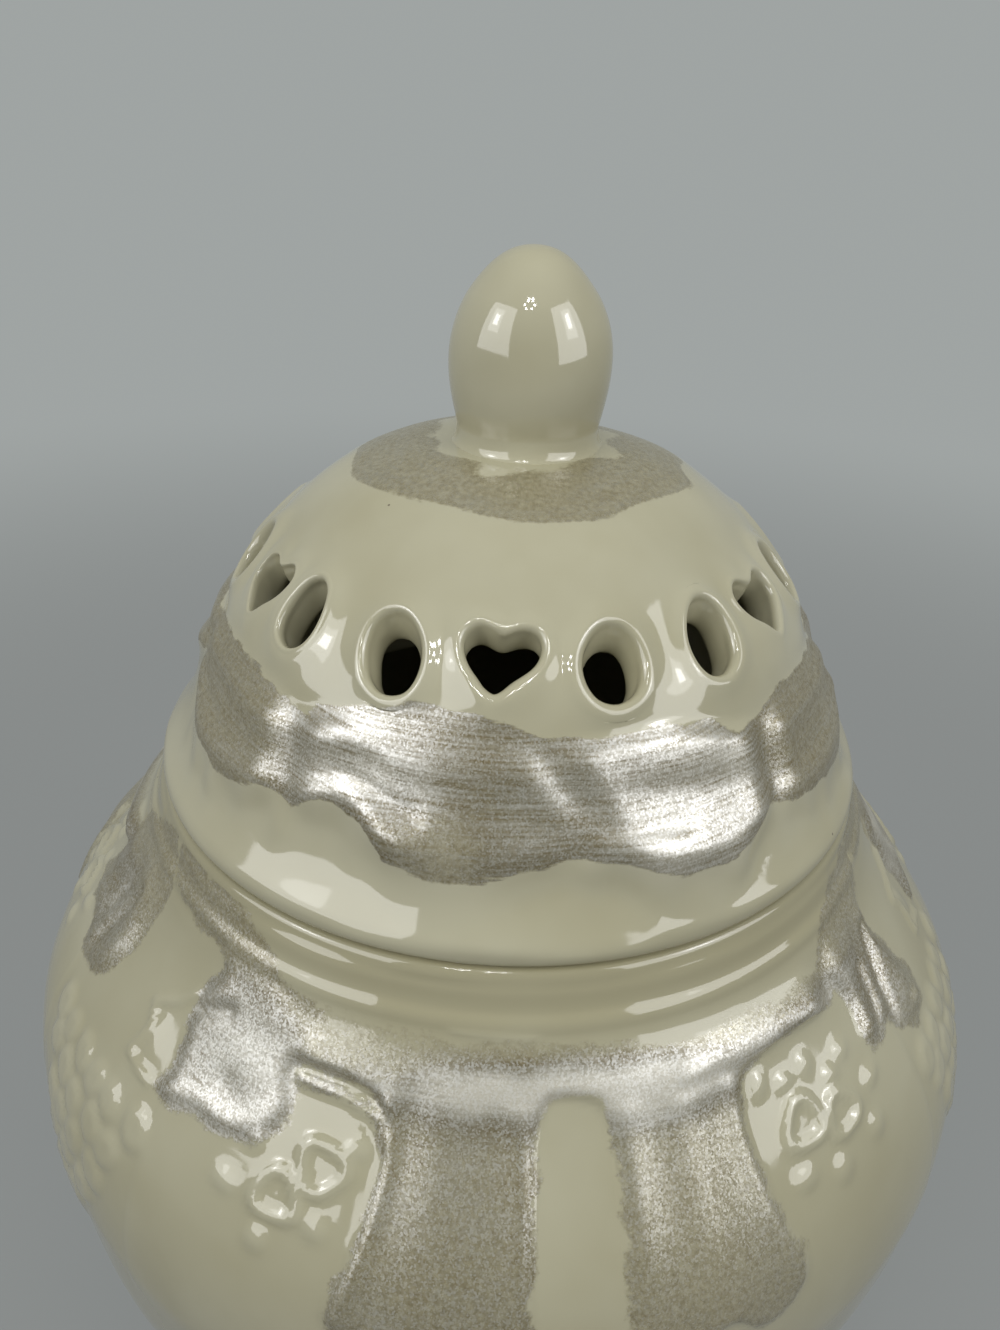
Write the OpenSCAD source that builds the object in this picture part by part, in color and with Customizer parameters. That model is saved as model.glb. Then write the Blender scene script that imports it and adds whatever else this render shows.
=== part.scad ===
// Potpourri vase: a glazed jar with a pierced lid, an egg knob and raised drapery, leaves and fruit.
// The origin is the centre of the foot on the table, +Z is up and the front is -Y.

/* [Jar] */
// Greatest diameter of the jar, at the belly
belly_d = 170.4; // [160:0.4:180]
// Height of the belly's widest ring above the table
belly_z = 99; // [90:1:104]
// Diameter of the foot ring
foot_d = 104; // [90:1:112]
// Thickness of the fired wall
wall = 5; // [4:0.5:6]
// Outer diameter of the short neck
neck_d = 106; // [103:0.5:106]

/* [Lid] */
// Height of the lid's lip above the table
lip_z = 155; // [153:1:160]
// Diameter of the lid over its lip
lip_d = 117; // [116:0.5:119]
// Height of the lid's crown above the lip
crown_h = 50; // [48:1:52]
// Depth of the flange that drops into the neck
flange_h = 11; // [8:1:14]
// Gap between the flange and the neck
flange_gap = 0.6; // [0.4:0.1:1.2]

/* [Holes] */
// Number of heart holes, with two ovals after each
hearts = 6; // [4:1:6]
// Width of a heart hole
heart_w = 10; // [8:0.5:11]
// Width of an oval hole
oval_w = 6.6; // [5:0.2:7]
// Height of an oval hole
oval_h = 9.2; // [8:0.2:10]
// Angle from the front to the first heart
heart_turn = -1.6; // [-5:0.1:5]

/* [Knob] */
// Greatest diameter of the egg knob
knob_d = 23.6; // [20:0.2:26]
// Height of the knob
knob_h = 27.6; // [24:0.2:32]
// How far the knob stands off the lid's axis
knob_shift = 1; // [0:0.1:1.6]

/* [Relief] */
// Angle from the front to the middle of the first panel
panel_turn = 8; // [0:1:20]
// Height of the drapery above the wall
swag_t = 1.8; // [1:0.1:2.5]
// Height of the leaf sprays above the wall
spray_t = 2.2; // [1:0.1:3]
// Height of the puffed band above the lid
puff_t = 1.2; // [0.8:0.1:2]
// Radius of one round fruit
berry_r = 5.4; // [5:0.1:6]

/* [Hidden] */
$fn = 96;

cream = "#c9c6ac";
silver = "#bdbcb2";

// Steps along each curve of a profile or an outline, and points round a hole
steps = 9;
turns = 24;
// Sharp edges are broken by this much
edge = 1.2;

belly_r = belly_d / 2;
// Inner edge of the wall at the widest ring, where the two halves of the jar meet
inner_belly = [belly_r - wall, belly_z];
foot_r = foot_d / 2;
foot_h = 6;
foot_ring_w = 7;
recess_h = 3;
floor_t = 8;
neck_r = neck_d / 2;
mouth_r = neck_r - wall;
// The lid's ledge and the mouth rim meet on this plane, just above the lip
seat_z = lip_z + 2.2;
// The shoulder turns into the cove under the neck here
cove_r = 62;
cove_z = lip_z - 10.7;

lip_r = lip_d / 2;
lip_low_z = lip_z - 0.8;
lip_inner_r = neck_r + 1.6;
flange_r = mouth_r - flange_gap;
flange_inner_r = flange_r - 3.6;
flange_low_z = seat_z - flange_h;
crown_z = lip_z + crown_h;
// Flat seat of the knob on the crown, and the knob's foot on it
knob_seat_r = 15;
knob_foot_r = 13.4;
// Rim of the flatter crown disc, and the turn from the lid's side to its shoulder
disc_r = 26.7;
disc_z = crown_z - 4.1;
turn_r = 45.7;
turn_z = lip_z + 26.4;
// Rings that the holes stand on: radius and height above the lip
heart_ring = [39.9, 34.2];
oval_ring = [41.5, 33.1];

// Three panels round the shoulder, and nine puffs round the lid
panel_step = 120;
puff_step = 40;
puff_turn = -12;

function bend(a, b, c, d) = [for (i = [0 : steps]) let (t = i / steps, u = 1 - t)
  u * u * u * a + 3 * u * u * t * b + 3 * u * t * t * c + t * t * t * d];
function back(list) = [for (i = [len(list) - 1 : -1 : 0]) list[i]];
function grown(list, t) = [for (p = list) [p[0] + t, p[1]]];
function both_sides(list) = concat(list, [for (p = back(list)) [-p[0], p[1]]]);

// Outer profile of the jar, from the foot to the neck
lower_belly = bend(
  [foot_r + 1, foot_h], [foot_r + 14, foot_h + 24], [belly_r, belly_z - 39], [belly_r, belly_z]);
shoulder = bend(
  [belly_r, belly_z], [belly_r, belly_z + 25.6], [cove_r + 7.8, cove_z - 15.1], [cove_r, cove_z]);
neck_cove = bend(
  [cove_r, cove_z], [cove_r - 3.6, cove_z + 4.5], [neck_r + 1, cove_z + 5.1], [neck_r, cove_z + 8.7]);
jar_outside = concat(lower_belly, shoulder, neck_cove);

// Outer profile of the lid, from the lip to the crown
lid_side = bend(
  [lip_r - 0.3, lip_z + 1.4], [lip_r - 5, lip_z + 10], [turn_r + 3.8, turn_z - 7.3], [turn_r, turn_z]);
lid_shoulder = bend(
  [turn_r, turn_z], [turn_r - 3.3, turn_z + 7.4], [disc_r + 6, disc_z - 4], [disc_r, disc_z]);
lid_crown = bend(
  [disc_r, disc_z], [disc_r - 3.2, disc_z + 1.7], [knob_seat_r + 4, crown_z - 1.1], [knob_seat_r, crown_z]);

// Radius of the jar's wall at a height
function jar_r(z) = lookup(z, [for (p = concat(lower_belly, shoulder)) [p[1], p[0]]]);

// The lower half of the jar: foot ring, floor and bowl up to the widest ring
module jar_bowl() {
  foot = [[0, recess_h], [foot_r - foot_ring_w - edge, recess_h], [foot_r - foot_ring_w, 0],
          [foot_r - edge, 0], [foot_r, edge], [foot_r, foot_h - edge]];
  inner_bowl = bend(
    inner_belly, inner_belly - [0, 37], [foot_r + 10, floor_t + 24], [foot_r - 8, floor_t + 1.5]);
  color(cream) rotate_extrude()
    polygon(concat(foot, lower_belly, inner_bowl, [[0, floor_t]]));
}

// The upper half of the jar: shoulder, neck and mouth rim
module jar_shoulder() {
  rim = [[neck_r, seat_z - edge], [neck_r - edge, seat_z],
         [mouth_r + edge, seat_z], [mouth_r, seat_z - edge]];
  inner_shoulder = bend(
    [mouth_r, seat_z - 8], [mouth_r + 8, seat_z - 14], inner_belly + [0, 23], inner_belly);
  color(cream) rotate_extrude()
    polygon(concat(shoulder, neck_cove, rim, inner_shoulder));
}

// The heart curve is 32 units wide
module heart_outline() {
  unit = heart_w / 32;
  polygon([for (i = [0 : turns - 1]) let (a = (i + 0.5) * 360 / turns)
    unit * [16 * pow(sin(a), 3), 13 * cos(a) - 5 * cos(2 * a) - 2 * cos(3 * a) - cos(4 * a) + 2]]);
}

module oval_outline() {
  polygon([for (i = [0 : turns - 1]) let (a = i * 360 / turns) [oval_w / 2 * cos(a), oval_h / 2 * sin(a)]]);
}

// A cutter square to the lid's wall, at an angle from the front
module through_lid(angle, ring) {
  wall_lean = 40;
  reach = 24;
  rotate([0, 0, angle]) translate([0, -ring[0], lip_z + ring[1]]) rotate([90 - wall_lean, 0, 0])
    linear_extrude(reach, center = true) children();
}

module lid() {
  heart_step = 360 / hearts;
  lip = bend(
    [lip_r - 0.3, lip_z + 1.4], [lip_r + 0.4, lip_z], [lip_r - 0.3, lip_low_z], [lip_r - 1.5, lip_low_z]);
  ledge = [[lip_inner_r + edge, lip_low_z], [lip_inner_r, lip_low_z + edge], [lip_inner_r, seat_z]];
  flange = [[flange_r, seat_z], [flange_r, flange_low_z + edge], [flange_r - edge, flange_low_z],
            [flange_inner_r + edge, flange_low_z], [flange_inner_r, flange_low_z + edge]];
  dome_foot = [flange_inner_r, seat_z + 3];
  inner_dome = bend(dome_foot, dome_foot + [0.7, 12.8], [39, turn_z + 4.6], [24, disc_z - 4.7]);
  outside = back(concat(lid_side, lid_shoulder, lid_crown));
  color(cream) difference() {
    rotate_extrude()
      polygon(concat([[0, crown_z]], outside, lip, ledge, flange, inner_dome, [[0, crown_z - wall]]));
    for (i = [0 : hearts - 1]) {
      through_lid(heart_turn + i * heart_step, heart_ring) heart_outline();
      for (k = [1, 2]) through_lid(heart_turn + (i + k / 3) * heart_step, oval_ring) oval_outline();
    }
  }
}

module lid_knob() {
  waist_r = knob_d * 0.458;
  cheek_r = knob_d * 0.4;
  foot = bend([knob_foot_r, 0], [knob_foot_r - 1, 0.9], [waist_r, 1], [waist_r, 3]);
  side = bend([waist_r, 3], [knob_d * 0.5, 8.1], [knob_d * 0.555, 14.3], [cheek_r, 21]);
  tip = bend([cheek_r, 21], [knob_d * 0.28, knob_h - 2.1], [knob_d * 0.165, knob_h], [0, knob_h]);
  color(cream) translate([knob_shift, 0, crown_z]) rotate_extrude()
    polygon(concat([[0, 0]], foot, side, tip));
}

// A relief piece: an outline in the upright plane that faces an angle, cut out of a skin over the wall.
// The outline's x runs round the wall and its y is the height from the lip.
module relief(angle, profile, t) {
  start = 22;
  reach = 80;
  intersection() {
    rotate_extrude() polygon(concat(profile, back(grown(profile, t))));
    rotate([0, 0, angle]) translate([0, -start, lip_z]) rotate([90, 0, 0]) linear_extrude(reach) children();
  }
}

// Puffed band: a ring of lobes that are pinched in where they meet
module lid_drapery() {
  puff_top = bend([-16.3, 24], [-9, 30], [9, 30], [16.3, 24]);
  puff_hem = bend([18.1, 13.5], [11, 6.8], [-11, 6.8], [-18.1, 13.5]);
  color(silver) for (a = [0 : puff_step : 359])
    relief(puff_turn + a, concat(lid_side, lid_shoulder), puff_t) polygon(concat(puff_top, puff_hem));
}

// Draped cloth: a rope of folds across the panel, and two hanging tails with scalloped hems
module swag(panel) {
  top = bend([0, -8.5], [10, -10.5], [26, -11.5], [36.5, -14.2]);
  under = bend([36.5, -17.6], [31, -19.4], [26, -18.4], [23, -19]);
  side = bend([23, -19], [23, -26], [25, -34], [30, -40]);
  outer_hem = bend([30, -40], [27, -46], [20, -47], [17.5, -42]);
  inner_hem = bend([17.5, -42], [15, -48], [8, -49], [6, -43]);
  window = bend([6, -43], [3, -34], [3, -25], [4.6, -18]);
  color(silver) relief(panel_turn + panel * panel_step, shoulder, swag_t)
    polygon(both_sides(concat(top, under, side, outer_hem, inner_hem, window, [[0, -17]])));
}

// One pointed finger of a leaf, from its root downwards
module finger(length, width) {
  polygon(both_sides([for (i = [0 : steps]) let (t = i / steps)
    [width / 2 * sin(180 * pow(t, 0.8)), -length * t]]));
}

// Leaf spray: an arch that comes down from under the lid on two legs, each ending in a fan of fingers
module spray(panel) {
  angle = panel_turn + (panel + 0.5) * panel_step;
  arch_wall = concat(shoulder, [for (p = neck_cove) if (p[1] > cove_z && p[1] < cove_z + 5.7) p]);
  leg_root = [18.5, -13.5];
  outer = bend([14, -6], [18, -8], [23, -11], [23.5, -18]);
  inner = bend([13.5, -18], [11, -13], [6, -10], [0, -9.8]);
  color(silver) {
    relief(angle, arch_wall, spray_t) polygon(both_sides(concat([[0, -6]], outer, inner)));
    for (side = [0, 1], lean = [-36, -12, 12, 36])
      relief(angle, shoulder, spray_t) mirror([side, 0]) translate(leg_root) rotate(lean) finger(15.5, 7.5);
  }
}

// A bunch of round fruit that narrows downwards, half sunk in the wall
module fruit(panel) {
  rows = 4;
  sunk = 1.6;
  pitch = 8.6;
  row_drop = 7.7;
  top_z = lip_z - 34;
  color(cream) difference() {
    for (row = [0 : rows - 1], k = [0 : rows - 1 - row]) {
      z = top_z - row * row_drop;
      r = jar_r(z);
      turn = (k - (rows - 1 - row) / 2) * pitch / r * 180 / PI;
      rotate([0, 0, panel_turn + (panel + 0.5) * panel_step + turn])
        translate([0, sunk - r, z]) sphere(r = berry_r);
    }
    rotate_extrude() polygon(concat([[0, foot_h]], jar_outside, [[0, lip_z - 2]]));
  }
}

jar_bowl();
jar_shoulder();
lid();
lid_knob();
lid_drapery();
swag(0);  // swag_front
swag(1);  // swag_back_right
swag(2);  // swag_back_left
spray(0);  // spray_right
spray(1);  // spray_back
spray(2);  // spray_left
fruit(0);  // fruit_right
fruit(1);  // fruit_back
fruit(2);  // fruit_left
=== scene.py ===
# %% [markdown]
# # A potpourri vase with a pierced lid
# The real vase is cast in cream earthenware. The jar has drapery, leaves and fruit raised on its
# shoulder, the lid is pierced with hearts and ovals to let the scent out, and an egg-shaped knob is
# luted on top. A thick glossy glaze covers everything, and silver lustre is brushed over the drapery.
# This lesson loads the measured solids as a fixed frame and then models each glazed piece over them.

# %% Load the frame
from math import atan2, cos, degrees, hypot, pi, radians, sin, sqrt

import bmesh
import bpy
import numpy as np
from mathutils import Matrix, Vector
from mathutils.geometry import interpolate_bezier


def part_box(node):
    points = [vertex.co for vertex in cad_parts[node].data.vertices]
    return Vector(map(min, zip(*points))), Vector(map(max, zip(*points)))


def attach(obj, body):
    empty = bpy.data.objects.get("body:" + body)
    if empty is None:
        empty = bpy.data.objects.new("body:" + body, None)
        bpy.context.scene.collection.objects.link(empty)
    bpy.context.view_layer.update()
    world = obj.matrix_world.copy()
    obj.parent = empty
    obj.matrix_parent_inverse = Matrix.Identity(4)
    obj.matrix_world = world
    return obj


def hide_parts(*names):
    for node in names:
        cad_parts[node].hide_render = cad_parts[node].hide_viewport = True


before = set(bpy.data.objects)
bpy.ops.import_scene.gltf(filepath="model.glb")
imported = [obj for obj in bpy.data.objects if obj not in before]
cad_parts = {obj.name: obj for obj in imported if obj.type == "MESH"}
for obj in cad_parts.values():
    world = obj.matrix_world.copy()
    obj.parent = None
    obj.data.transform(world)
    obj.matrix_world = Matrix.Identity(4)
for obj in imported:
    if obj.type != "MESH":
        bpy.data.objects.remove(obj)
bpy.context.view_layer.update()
MM = 0.001
print("solids:", sorted(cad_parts))

# %% [markdown]
# The camera comes first, so that every later step can be looked at from where the photograph was
# taken. That was close by, a little above the lid and looking down at it. A close camera
# with a wide lens makes the front of the jar swell towards us, so the distance matters as much as the
# angle. The lens follows from the focal length in pixels and the long side of the picture.

# %% Camera
PHOTO_SIZE = (1000, 1330)
FOCAL_PIXELS = 1000
camera_place = Vector((0, -149.3, 250.6)) * MM
camera_turn = radians(-0.73)
camera_tip = radians(29.72)
camera_roll = radians(2.0)

lens = bpy.data.cameras.new("camera")
lens.sensor_width = 36
lens.lens = lens.sensor_width * FOCAL_PIXELS / max(PHOTO_SIZE)
lens.clip_start = 0.01
camera = bpy.data.objects.new("camera", lens)
look = (Matrix.Rotation(-camera_turn, 3, "Z") @ Matrix.Rotation(pi / 2 - camera_tip, 3, "X")
        @ Matrix.Rotation(camera_roll, 3, "Z"))
camera.matrix_world = Matrix.Translation(camera_place) @ look.to_4x4()
bpy.context.scene.collection.objects.link(camera)
bpy.context.scene.camera = camera
print("lens", round(lens.lens, 2), "mm")

# %% [markdown]
# Almost everything here is turned round one upright axis, so the pieces start as sections: points of
# radius and height, in millimetres. The heights that matter come from the solids: the mouth rim that
# the lid sits on, the widest ring of the belly, and the seat of the knob. Curves join the points.

# %% Sections
seat_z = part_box("jar_shoulder")[1].z / MM
belly_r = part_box("jar_shoulder")[1].x / MM
knob_low, knob_high = (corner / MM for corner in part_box("lid_knob"))
LIP_DROP = 2.2
WALL = 5
lip_z = seat_z - LIP_DROP
crown_z = knob_low.z


def bend(start, handle, other_handle, end, steps=40):
    """Points along a cubic curve in a section."""
    ends = [Vector(p) for p in (start, handle, other_handle, end)]
    return [(p.x, p.y) for p in interpolate_bezier(*ends, steps + 1)]


def chain(*runs):
    """Joins runs of points and drops a point that repeats the one before it."""
    points = []
    for p in (p for run in runs for p in run):
        if not points or hypot(p[0] - points[-1][0], p[1] - points[-1][1]) > 1e-6:
            points.append(p)
    return points


def running_length(section):
    """How far along a section each of its points lies."""
    steps = np.diff(np.array(section), axis=0)
    return np.concatenate([[0], np.cumsum(np.hypot(steps[:, 0], steps[:, 1]))])


def at_length(section, lengths):
    """The points that lie the given lengths along a section."""
    run = running_length(section)
    points = np.array(section)
    return [(float(np.interp(s, run, points[:, 0])), float(np.interp(s, run, points[:, 1])))
            for s in lengths]


def paced(section, pace):
    """A section with evenly spaced points, about `pace` millimetres apart."""
    total = running_length(section)[-1]
    return at_length(section, np.linspace(0, total, max(2, round(total / pace) + 1)))


def on_ring(turn, radius, height):
    """A place in metres: `turn` degrees from the front towards +X, radius and height in millimetres."""
    return Vector((radius * sin(radians(turn)), -radius * cos(radians(turn)), height)) * MM


def turn_of(place):
    """Degrees from the front towards +X."""
    return degrees(atan2(place[0], -place[1]))


print(f"mouth rim at {seat_z:.1f} mm, belly {2 * belly_r:.1f} mm across, crown at {crown_z:.1f} mm")

# %% [markdown]
# A section becomes a solid of turning by a spin. Each point of the section keeps its row number in a
# layer, which the spin copies, so that a later step can find a row again. Each step of a spin takes longer
# than the one before, so the section is spun through an eighth of a turn, and that wedge is copied round.
# The wedges' seams and the points on the axis are merged afterwards.

# %% Spin a section
WEDGES = 8


def spun(section, columns):
    """Turns a section round the upright axis into a mesh."""
    mesh = bmesh.new()
    row_layer = mesh.verts.layers.int.new("row")
    points = []
    for row, (radius, height) in enumerate(section):
        point = mesh.verts.new(on_ring(0, radius, height))
        point[row_layer] = row
        points.append(point)
    edges = [mesh.edges.new(pair) for pair in zip(points, points[1:])]
    bmesh.ops.spin(mesh, geom=points + edges, cent=(0, 0, 0), axis=(0, 0, 1), angle=2 * pi / WEDGES,
                   steps=columns // WEDGES)
    wedge = mesh.verts[:] + mesh.edges[:] + mesh.faces[:]
    for k in range(1, WEDGES):
        copy = bmesh.ops.duplicate(mesh, geom=wedge)["geom"]
        bmesh.ops.rotate(mesh, verts=[g for g in copy if isinstance(g, bmesh.types.BMVert)],
                         cent=(0, 0, 0), matrix=Matrix.Rotation(2 * pi * k / WEDGES, 3, "Z"))
    bmesh.ops.remove_doubles(mesh, verts=mesh.verts, dist=0.001 * MM)
    bmesh.ops.recalc_face_normals(mesh, faces=mesh.faces)
    return mesh


def piece_from(name, mesh):
    """Makes a smooth-shaded object of a bmesh and frees it."""
    data = bpy.data.meshes.new(name)
    mesh.to_mesh(data)
    mesh.free()
    data.shade_smooth()
    piece = bpy.data.objects.new(name, data)
    bpy.context.scene.collection.objects.link(piece)
    return piece


print(f"a spin is made of {WEDGES} wedges")

# %% [markdown]
# The lid is a bell with a thick wall. Its section runs from the crown over the shoulder and down the
# flared side to the rounded lip, then under the lip to the ledge that sits on the mouth rim, round the
# flange that drops into the neck, and up the inside again. Drawing the wall as three curves keeps its
# slope smooth, so the glaze's reflections run over it without a break.

# %% Section of the lid
lid_wall = chain(
    bend((57.2, lip_z + 3.2), (52.6, lip_z + 8.3), (49.6, lip_z + 15.4), (45.7, lip_z + 26.4)),
    bend((45.7, lip_z + 26.4), (42.4, lip_z + 33.8), (32.7, lip_z + 41.9), (26.7, lip_z + 45.9)),
    bend((26.7, lip_z + 45.9), (23.5, lip_z + 47.6), (19, crown_z - 1.1), (15, crown_z)))
lip = [(57.9, lip_z + 2.4), (58.4, lip_z + 1.4), (58.5, lip_z + 0.4), (58.3, lip_z - 0.4),
       (57.6, lip_z - 0.85), (56.6, lip_z - 0.9)]
ledge = [(55.4, lip_z - 0.6), (54.7, lip_z + 0.6), (54.6, seat_z - 0.3), (54.2, seat_z), (47.8, seat_z)]
flange = [(47.4, seat_z - 0.4), (47.4, seat_z - 9.8), (46.6, seat_z - 11),
          (44.6, seat_z - 11), (43.8, seat_z - 9.8), (43.8, seat_z - 4)]
inner_dome = chain(
    bend((43.8, seat_z + 3), (44.5, seat_z + 15.8), (39, lip_z + 31), (24, lip_z + 41.2)),
    [(14, lip_z + 44), (0, lip_z + 45)])
wall_run = running_length(lid_wall)
print(f"lid wall of {wall_run[-1]:.1f} mm from lip to crown")

# %% [markdown]
# The holes need room in the mesh. Rows are therefore placed by their length along the wall: four of them
# lie evenly about the ring of holes, outside and inside, and the rest share what is left. The inner four
# lie where a line through the wall from the ring of holes comes out, because a cutter goes straight in.

# %% Rows of the lid
HOLE_Z = lip_z + 33.6
WINDOW_HALF = 7.4
INNER_WINDOW_HALF = 6.2
ROWS_BELOW, ROWS_ABOVE = 10, 6
INNER_ROWS_BELOW, INNER_ROWS_ABOVE = 5, 3

wall_heights = np.array(lid_wall)[:, 1]
hole_length = float(np.interp(HOLE_Z, wall_heights, wall_run))
(hole_r, hole_z), (above_r, above_z) = at_length(lid_wall, [hole_length, hole_length + 0.5])
hole_lean = atan2(hole_r - above_r, above_z - hole_z)
behind_hole = (hole_r - 1.1 * WALL * cos(hole_lean), hole_z - 1.1 * WALL * sin(hole_lean))
inner_run = running_length(inner_dome)
inner_gaps = [hypot(r - behind_hole[0], z - behind_hole[1]) for r, z in inner_dome]
inner_length = float(inner_run[int(np.argmin(inner_gaps))])

window_rows = np.linspace(-1, 1, 5)


def rows_along(middle, half, end, below, above):
    """Lengths of the rows below, in and above a window."""
    return np.concatenate([np.linspace(0, middle - half, below + 1)[:-1], middle + half * window_rows,
                           np.linspace(middle + half, end, above + 1)[1:]])


outer_rows = rows_along(hole_length, WINDOW_HALF, wall_run[-1], ROWS_BELOW, ROWS_ABOVE)
inner_rows = rows_along(inner_length, INNER_WINDOW_HALF, inner_run[-1], INNER_ROWS_BELOW, INNER_ROWS_ABOVE)
crown_seat = [(0, crown_z), (7, crown_z)]
outside = at_length(lid_wall, outer_rows[::-1])
inside = at_length(inner_dome, inner_rows)
lid_section = chain(crown_seat, outside, lip, ledge, flange, inside)
outer_window_row = len(crown_seat) + ROWS_ABOVE
inner_window_row = len(lid_section) - len(inside) + INNER_ROWS_BELOW
print(f"lid section of {len(lid_section)} rows, holes {hole_length:.1f} mm up the wall, "
      f"leaning {degrees(hole_lean):.0f} degrees")

# %% [markdown]
# The potter cut the holes with small cutters while the clay was damp, two ovals after every heart, and
# the glaze then ran round their edges. No two holes stand or lean quite alike, so each has its own turn
# and lean. An outline is a reach from the hole's middle in every direction: a formula gives the heart's
# and the oval's, and rings that lie outside or inside the outline give the hole its soft rim.

# %% Outlines of the holes
HOLE_COUNT = 18
HEART_W, OVAL_W, OVAL_H = 10.2, 6.9, 9.8
# Turn from the front and lean of each hole, in degrees; every third hole is a heart
HOLES = [(-2.2, -8), (18.3, -12), (40.9, -11), (60.4, -4), (78.6, 4), (100, -6), (118.6, 3), (139, -5),
         (160.2, 6), (178.4, -4), (199, 5), (219.6, -7), (238, 4), (258.4, -6), (280.6, 3), (299.6, 5),
         (315.6, 0), (338.2, 13)]
# Half the width of each hole in degrees round the lid
HEART_HALF, OVAL_HALF = 7.2, 5.2
# Each ring is how far it lies outside the outline, as a share of the room to the next hole, and how deep
HEART_RINGS = [(0.97, 0), (0.74, -0.08), (0.5, -0.16), (0.3, -0.05), (0.14, 0.5), (0.02, 1.6),
               (-0.09, 3.6), (0.05, 5.2)]
OVAL_RINGS = [(1, 0), (0.84, -0.05), (0.66, -0.12), (0.5, -0.14), (0.34, 0.05), (0.2, 0.6), (0.06, 1.5),
              (-0.14, 2.9), (-0.24, 4.4), (-0.05, 5.3)]
# How far a hole sinks down the wall for each millimetre of depth, because the cutter was held upright
HOLE_SLANT = 0.32

heart_turns = np.linspace(0, 2 * pi, 181)
heart_x = 16 * np.sin(heart_turns) ** 3 * HEART_W / 32
heart_y = (13 * np.cos(heart_turns) - 5 * np.cos(2 * heart_turns) - 2 * np.cos(3 * heart_turns)
           - np.cos(4 * heart_turns) + 2) * HEART_W / 32
heart_order = np.argsort(np.arctan2(heart_y, heart_x))
heart_ways = np.arctan2(heart_y, heart_x)[heart_order]
heart_reaches = np.hypot(heart_x, heart_y)[heart_order]


def heart_reach(way):
    """Distance from the middle of a heart to its outline in a direction."""
    return float(np.interp(way, heart_ways, heart_reaches, period=2 * pi))


def oval_reach(way):
    """The same for an oval."""
    return OVAL_W * OVAL_H / 4 / hypot(OVAL_H / 2 * cos(way), OVAL_W / 2 * sin(way))


def drawn_out(ring):
    """Pulls a ring's corners out, because the subdivision surface draws them in again."""
    return [p + (p - (before + after) / 2) / 3
            for before, p, after in zip(ring[-1:] + ring[:-1], ring, ring[1:] + ring[:1])]


hole_turns = np.array([turn for turn, lean in HOLES])
hole_halves = np.array([HEART_HALF if k % 3 == 0 else OVAL_HALF for k in range(HOLE_COUNT)])
gaps = (np.roll(hole_turns, -1) - hole_turns) % 360 - hole_halves - np.roll(hole_halves, -1)
sector_starts = hole_turns - hole_halves - np.roll(gaps, 1) / 2
rooms = np.radians(np.minimum(gaps, np.roll(gaps, 1)) / 2) * hole_r
print(f"room between holes {2 * rooms.min():.1f} to {2 * rooms.max():.1f} mm")

# %% [markdown]
# A Boolean cut would leave ragged triangles round the holes. Instead each hole takes a window of four by
# four faces out of the outer wall and one out of the inner wall. The border of the outer window is
# extruded inwards ring by ring: onto the hole's outline, down its soft rim, through the wall, and at last
# onto the border of the inner window. Round the holes all faces stay four-sided, so they round well.

# %% Pierce the lid
LID_COLUMNS = 4 * HOLE_COUNT


def sector_columns(mesh):
    """Moves the columns of a spun mesh so that each hole has four of them to itself, and numbers them."""
    column_layer = mesh.verts.layers.int.new("column")
    for point in mesh.verts:
        radius = hypot(point.co.x, point.co.y) / MM
        column = round(turn_of(point.co) % 360 / 360 * LID_COLUMNS) % LID_COLUMNS
        sector, step = divmod(column, 4)
        width = (sector_starts[(sector + 1) % HOLE_COUNT] - sector_starts[sector]) % 360
        point[column_layer] = column
        point.co = on_ring(sector_starts[sector] + width * step / 4, radius, point.co.z / MM)


def window(mesh, first_row, hole):
    """The faces of one window, and its border points by column and row from the middle."""
    rows, columns = mesh.verts.layers.int["row"], mesh.verts.layers.int["column"]

    def cell(point):
        column = (point[columns] - 4 * hole + LID_COLUMNS // 2) % LID_COLUMNS - LID_COLUMNS // 2
        return column - 2, point[rows] - first_row - 2

    faces = [f for f in mesh.faces if all(max(abs(c) for c in cell(v)) <= 2 for v in f.verts)]
    border = {cell(v): v for f in faces for v in f.verts if max(abs(c) for c in cell(v)) == 2}
    return faces, border


def next_ring(mesh, ring):
    """Extrudes a closed ring of points and gives the new points in the same order."""
    edges = [e for a, b in zip(ring, ring[1:] + ring[:1]) for e in a.link_edges if e.other_vert(a) is b]
    made = bmesh.ops.extrude_edge_only(mesh, edges=edges)["geom"]
    new_points = {g for g in made if isinstance(g, bmesh.types.BMVert)}
    return [next(e.other_vert(p) for e in p.link_edges if e.other_vert(p) in new_points) for p in ring]


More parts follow.
